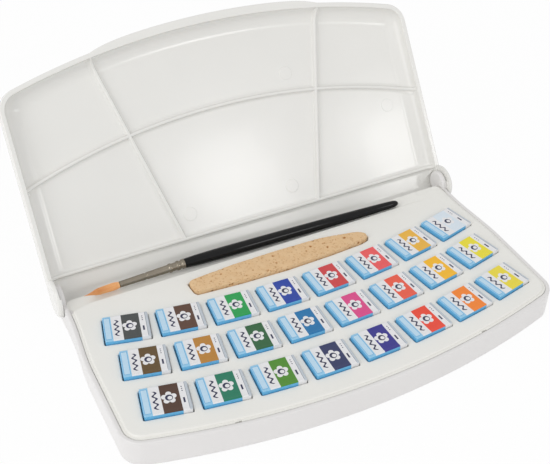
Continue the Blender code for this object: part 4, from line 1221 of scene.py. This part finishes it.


# Printed marks and painted shade, in millimetres on the paper; a pair of pairs is a patch along and
# across it
FLOWER_MIDDLE = (1.5, 0.3)
FLOWER_PETALS = 5
FLOWER_TURN = 0.3
FLOWER_PETAL = 1.35
FLOWER_REACH = 2.15
FLOWER_RING = 1.75
FLOWER_EYE = (1.85, 0.1)
FLOWER_EYE_RADIUS = 1.05
WAVE_TURNS = 1.9
WAVE_SWING = 0.75
WAVE_LINE = (-5.05, -3.95)
WAVE_RUN = (-5.4, 5.2)
TICKS = [(7.7, 5.4), (7.7, 4.2), (7.7, 3.0)]
TICK_RADIUS = 0.32
DASH = ((7.25, 8.15), (-3.9, -0.9))
COLOUR_BLOCK = (-2.0, 6.3)
BLUE_BAND = (-12.0, -6.7)
PANEL_LINE = ((-10.15, -7.15), (-7.0, 7.0))
PANEL = ((-9.95, -7.35), (-6.8, 6.8))
# The folded end's run holds painted shade of its slope; the thin patch is a painted crease shade
FOLD = (9.05, 12.0)
CREASE_SHADE_PATCH = ((9.05, 9.3), (-7.6, 7.6))
SIDE_TOP = 10.75
SIDE_LINE = (10.6, 10.8)
SIDE_BLUE_RUN = (-12.0, 6.3)
SIDE_WHITE_RUN = (6.3, 12.0)

# The noises of each finish: the features' size in metres, their detail, and how they stretch
CLOUDS = (0.045, 2.0)
SCUFFS = (0.0016, 4.0, (1.0, 0.06, 1.0))
PAPER_GRAIN = (0.0009, 3.0)
PAPER_WAVES = (0.0042, 2.0)
INK_CLOUDS = (0.0028, 2.0)
PANEL_WASH = (0.0011, 4.0)
SIDE_WASH = (0.0022, 2.0)
LACQUER_GRAIN = (0.0008, 3.0, (0.05, 1.0, 1.0))
TURNING_LINES = (0.0006, 3.0, (1.0, 0.02, 0.02))
NICKEL_CLOUDS = (0.004, 2.0)
HAIR_STREAKS = (0.0004, 2.0, (0.03, 1.0, 1.0))
FOAM_MOTTLE = (0.0035, 4.0)
FOAM_GRAIN = (0.0005, 4.0)
FLOOR_CLOUDS = (0.3, 3.0)

# Roughness: its rise over the noise, then its least
CLOUD_ROUGHNESS = 0.04
SCUFF_ROUGHNESS = 0.05
PAPER_ROUGHNESS = (0.08, 0.28)
LACQUER_ROUGHNESS = (0.04, 0.05)
NICKEL_ROUGHNESS = (0.06, 0.08)
HAIR_ROUGHNESS = (0.15, 0.35)
FOAM_ROUGHNESS = (0.1, 0.85)
CASE_ROUGHNESS = 0.3
LID_ROUGHNESS = 0.17
TRAY_ROUGHNESS = 0.36
CUP_ROUGHNESS = 0.4
FLOOR_ROUGHNESS = 0.8

# Bump heights in metres; a plastic's are with their noises
PLASTIC_BUMPS = [((0.0012, 2.0), 0.000004), ((0.012, 1.0), 0.00002), ((0.035, 1.0), 0.0002)]
PAPER_WAVE_HEIGHT = 0.00008
PAPER_GRAIN_HEIGHT = 0.000006
LACQUER_GRAIN_HEIGHT = 0.000003
TURNING_LINE_HEIGHT = 0.000001
HAIR_STREAK_HEIGHT = 0.00002
FOAM_GRAIN_HEIGHT = 0.00012
PLASTIC_IOR = 1.49
LACQUER_IOR = 1.3
# How strongly painted shade darkens the sponge's pores, by their depth
PORE_SHADE_STRENGTH = 1.8

# How far a finish's colour varies, in steps of 255: to its low and its high colour
PLASTIC_SHIFTS = (-3, 3)
PAPER_SHIFTS = (-3, 2)
INK_SHIFTS = (-4, 4)
PANEL_SHIFTS = (0, 14)
SIDE_SHIFTS = (0, -16)
LACQUER_SHIFTS = (0, 10)
NICKEL_SHIFTS = (-10, 10)
FLOOR_SHIFTS = (0, 3)
HAIR_DARKER = -18


def printed_wrapper(name, colour):
    """Coated paper printed with a blue band, a block of the paint's colour and plain marks."""
    finish = Finish(name)
    u, v, w = finish.axes()
    grain = finish.noise(*PAPER_GRAIN)
    paint = finish.vary(grain, PAPER_WHITE, PAPER_SHIFTS)

    def lay_colour(mask, ink):
        nonlocal paint
        paint = finish.blend(mask, paint, ink)

    def patch(along, across):
        return band(u, *along) * band(v, *across)

    lay_colour(band(u, *COLOUR_BLOCK), finish.vary(finish.noise(*INK_CLOUDS), colour, INK_SHIFTS))
    petals = disc(u, v, *FLOWER_MIDDLE, FLOWER_PETAL)
    for petal in range(FLOWER_PETALS):
        angle = 2 * math.pi * petal / FLOWER_PETALS + FLOWER_TURN
        petals = petals.either(disc(u, v, FLOWER_MIDDLE[0] + FLOWER_REACH * math.cos(angle),
                                    FLOWER_MIDDLE[1] + FLOWER_REACH * math.sin(angle), FLOWER_PETAL))
    lay_colour(petals, PAPER_WHITE)
    ring = disc(u, v, *FLOWER_MIDDLE, FLOWER_RING) - disc(u, v, *FLOWER_EYE, FLOWER_EYE_RADIUS)
    lay_colour(ring.clamp(), PRINT_NAVY)
    wave = (v * WAVE_TURNS).math("SINE") * WAVE_SWING
    lay_colour(band(u - wave, *WAVE_LINE) * band(v, *WAVE_RUN), PRINT_NAVY)
    marks = patch(*DASH)
    for tick in TICKS:
        marks = marks.either(disc(u, v, *tick, TICK_RADIUS))
    lay_colour(marks, PRINT_NAVY)
    lay_colour(band(u, *BLUE_BAND), BAND_BLUE)
    lay_colour(patch(*PANEL_LINE), LINE_BLUE)
    lay_colour(patch(*PANEL), finish.vary(finish.noise(*PANEL_WASH), PANEL_BLUE, PANEL_SHIFTS))
    # The folded end: grey with painted shade of its slope, then a painted shade line at its crease
    lay_colour(band(u, *FOLD), FOLD_GREY_AND_SHADE)
    lay_colour(patch(*CREASE_SHADE_PATCH), FOLD_CREASE_SHADE)
    side = ((w * -1.0 + SIDE_TOP) * SHARPNESS).clamp()
    lay_colour(side * band(u, *SIDE_BLUE_RUN),
             finish.vary(finish.noise(*SIDE_WASH), SIDE_BLUE, SIDE_SHIFTS))
    lay_colour(side * band(u, *SIDE_WHITE_RUN), PAPER_WHITE)
    lay_colour(band(w, *SIDE_LINE) * band(u, *SIDE_BLUE_RUN), LINE_BLUE)
    finish.colour(paint)
    finish.roughness(grain, *PAPER_ROUGHNESS)
    finish.bump(finish.noise(*PAPER_WAVES), PAPER_WAVE_HEIGHT)
    finish.bump(grain, PAPER_GRAIN_HEIGHT)
    return finish.material


def lacquer():
    """Black lacquer on turned wood, with faint brush lines along it."""
    finish = Finish("lacquer", ior=LACQUER_IOR)
    grain = finish.noise(*LACQUER_GRAIN)
    finish.colour(finish.vary(grain, LACQUER_BLACK, LACQUER_SHIFTS))
    finish.roughness(grain, *LACQUER_ROUGHNESS)
    finish.bump(grain, LACQUER_GRAIN_HEIGHT)
    return finish.material


def nickel():
    """Polished nickel plate with fine turning lines round it, its colour darkened as painted shade."""
    finish = Finish("nickel_plate", metallic=1.0)
    lines = finish.noise(*TURNING_LINES)
    finish.colour(finish.vary(finish.noise(*NICKEL_CLOUDS), SHADED_NICKEL, NICKEL_SHIFTS))
    finish.roughness(lines, *NICKEL_ROUGHNESS)
    finish.bump(lines, TURNING_LINE_HEIGHT)
    return finish.material


def orange_hair():
    """Synthetic hair: orange strands with paler ones among them."""
    finish = Finish("tuft")
    streaks = finish.noise(*HAIR_STREAKS)
    finish.colour(finish.blend(streaks, shifted(HAIR_ORANGE, HAIR_DARKER), HAIR_PALE))
    finish.roughness(streaks, *HAIR_ROUGHNESS)
    finish.bump(streaks, HAIR_STREAK_HEIGHT)
    return finish.material


def sponge_foam():
    """Tan cellulose foam: a pale skin, with painted shade that darkens each pore the deeper it is."""
    finish = Finish("foam")
    skin = finish.blend(finish.noise(*FOAM_MOTTLE), SPONGE_TAN, SPONGE_PALE)
    pit = finish.attribute("pit")
    finish.colour(finish.blend((pit * pit * PORE_SHADE_STRENGTH).clamp(), skin, PORE_SHADE_BROWN))
    fine = finish.noise(*FOAM_GRAIN)
    finish.roughness(fine, *FOAM_ROUGHNESS)
    finish.bump(fine, FOAM_GRAIN_HEIGHT)
    return finish.material


def dress(piece, material, slot, body, *nodes):
    """Give a piece its finish, its body and the model's nodes that it stands for."""
    piece.data.materials.clear()
    piece.data.materials.append(material)
    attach(piece, body)
    if nodes:
        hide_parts(*nodes)
    return piece


# Camera: its place, and its own axes in the model's frame
CAMERA_PLACE = (-0.182907, -0.318947, 0.356357)
CAMERA_RIGHT = (0.89516466, -0.44550223, 0.01442198)
CAMERA_UP = (0.27224552, 0.57207978, 0.77369703)
CAMERA_BACK = (-0.35293427, -0.68865992, 0.63339159)
CAMERA_LENS = 68.292
CAMERA_SENSOR = 36.0
CAMERA_NEAR = 0.01

# Lamps: name, place, aim, width and height in metres, power in watts
LAMPS = [
    ("key", (-1.2, -0.4, 1.2), (0.0, 0.0, 0.0), 0.7, 0.7, 3.2),
    ("side", (-1.5, -0.5, 0.6), (0.0, 0.0, 0.0), 0.9, 0.9, 4.4),
    ("sheen_left", (0.39, -0.89, 0.62), (0.0, 0.08, 0.06), 0.15, 0.15, 0.58),
    ("sheen_right", (0.66, -0.83, 0.57), (0.07, 0.08, 0.06), 0.12, 0.15, 0.50),
]
WORLD_LIGHT = 0.68
FLOOR_HALF_SIZE = 3.0
FLOOR_DROP = 0.0002
FLOOR_WHITE = (250, 250, 250)
FLOOR_SHADOW_SHARE = 0.05
SEEN_BY = ("Camera", "Glossy", "Transmission")


def camera():
    """The photograph's view."""
    lens = bpy.data.cameras.new("camera")
    lens.lens = CAMERA_LENS
    lens.sensor_width = CAMERA_SENSOR
    lens.sensor_fit = "HORIZONTAL"
    lens.clip_start = CAMERA_NEAR
    made = place("camera", lens)
    turn = Matrix((CAMERA_RIGHT, CAMERA_UP, CAMERA_BACK)).transposed().to_4x4()
    made.matrix_world = Matrix.Translation(CAMERA_PLACE) @ turn
    bpy.context.scene.camera = made


def lamps():
    """Large soft lamps that face the box."""
    for name, spot, aim, width, height, power in LAMPS:
        light = bpy.data.lights.new(name, "AREA")
        light.shape = "RECTANGLE"
        light.size = width
        light.size_y = height
        light.energy = power
        made = place(name, light)
        made.location = spot
        made.rotation_euler = (Vector(spot) - Vector(aim)).to_track_quat("Z", "Y").to_euler()


def white_where_seen(tree, shader, share):
    """Mix a shader with plain white, which the camera, reflections and glass see."""
    path = tree.nodes.new("ShaderNodeLightPath")
    rays = [Field(tree, path.outputs["Is " + kind + " Ray"]) for kind in SEEN_BY]
    mask = (rays[0] + rays[1] + rays[2]).clamp() * share
    white = tree.nodes.new("ShaderNodeEmission" if share < 1 else "ShaderNodeBackground")
    white.inputs["Strength"].default_value = 1.0
    white.inputs["Color"].default_value = (1.0, 1.0, 1.0, 1.0)
    mix = tree.nodes.new("ShaderNodeMixShader")
    tree.links.new(mask.socket, mix.inputs[0])
    tree.links.new(shader.outputs[0], mix.inputs[1])
    tree.links.new(white.outputs[0], mix.inputs[2])
    return mix


def surroundings():
    """A white studio: an even sky and a white floor that keeps a soft shadow."""
    world = bpy.data.worlds.new("studio")
    bpy.context.scene.world = world
    world.use_nodes = True
    sky = world.node_tree.nodes["Background"]
    sky.inputs["Strength"].default_value = WORLD_LIGHT
    sky.inputs["Color"].default_value = (1.0, 1.0, 1.0, 1.0)
    mix = white_where_seen(world.node_tree, sky, 1.0)
    world.node_tree.links.new(mix.outputs[0], world.node_tree.nodes["World Output"].inputs[0])

    half = FLOOR_HALF_SIZE
    corners = [(-half, -half), (half, -half), (half, half), (-half, half)]
    mesh = bpy.data.meshes.new("floor")
    mesh.from_pydata(ring_at(corners, -FLOOR_DROP), [], [(0, 1, 2, 3)])
    floor = place("floor", mesh)
    finish = Finish("floor_white")
    finish.shader.inputs["Roughness"].default_value = FLOOR_ROUGHNESS
    finish.colour(finish.vary(finish.noise(*FLOOR_CLOUDS), FLOOR_WHITE, FLOOR_SHIFTS))
    mix = white_where_seen(finish.tree, finish.shader, 1.0 - FLOOR_SHADOW_SHARE)
    finish.tree.links.new(mix.outputs[0], finish.tree.nodes["Material Output"].inputs[0])
    mesh.materials.append(finish.material)


def main():
    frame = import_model()
    camera()
    lamps()
    surroundings()
    bpy.context.scene.view_settings.view_transform = "Standard"

    dress(base_shell(), moulded_plastic("case_plastic", BASE_WHITE, CASE_ROUGHNESS),
          "white_plastic", "base", "base_shell")
    dress(palette_lid(), moulded_plastic("palette_plastic", LID_WHITE, LID_ROUGHNESS),
          "lid_plastic", "lid", "palette_lid")
    dress(pan_tray(), moulded_plastic("tray_finish", TRAY_WHITE, TRAY_ROUGHNESS),
          "tray_plastic", "tray", "pan_tray")
    wrapper = wrapper_mesh()
    cup_finish = moulded_plastic("cup_finish", CUP_WHITE, CUP_ROUGHNESS)
    for number, x, y, angle in pan_places():
        label = f"pan_{number:02d}"
        piece = place(f"{label}_paper", wrapper.copy())
        piece.location = (x, y, WRAPPER_Z)
        piece.rotation_euler = (0.0, 0.0, angle)
        dress(piece, printed_wrapper(f"{label}_printing", PAN_COLOURS[number - 1]),
              f"{label}_print", label, f"{label}_wrapper")
        cup = frame["nodes"][f"{label}_cup"]
        cup.data.materials.clear()
        cup.data.materials.append(cup_finish)
    strip = dress(sponge(), sponge_foam(), "sponge_foam", "sponge_strip", "sponge")
    handle, ferrule, hair = brush()
    dress(handle, lacquer(), "black_lacquer", "brush", "brush_handle")
    dress(ferrule, nickel(), "nickel", "brush", "brush_ferrule")
    dress(hair, orange_hair(), "orange_hair", "brush", "brush_hair")
    bpy.data.meshes.remove(wrapper)


main()
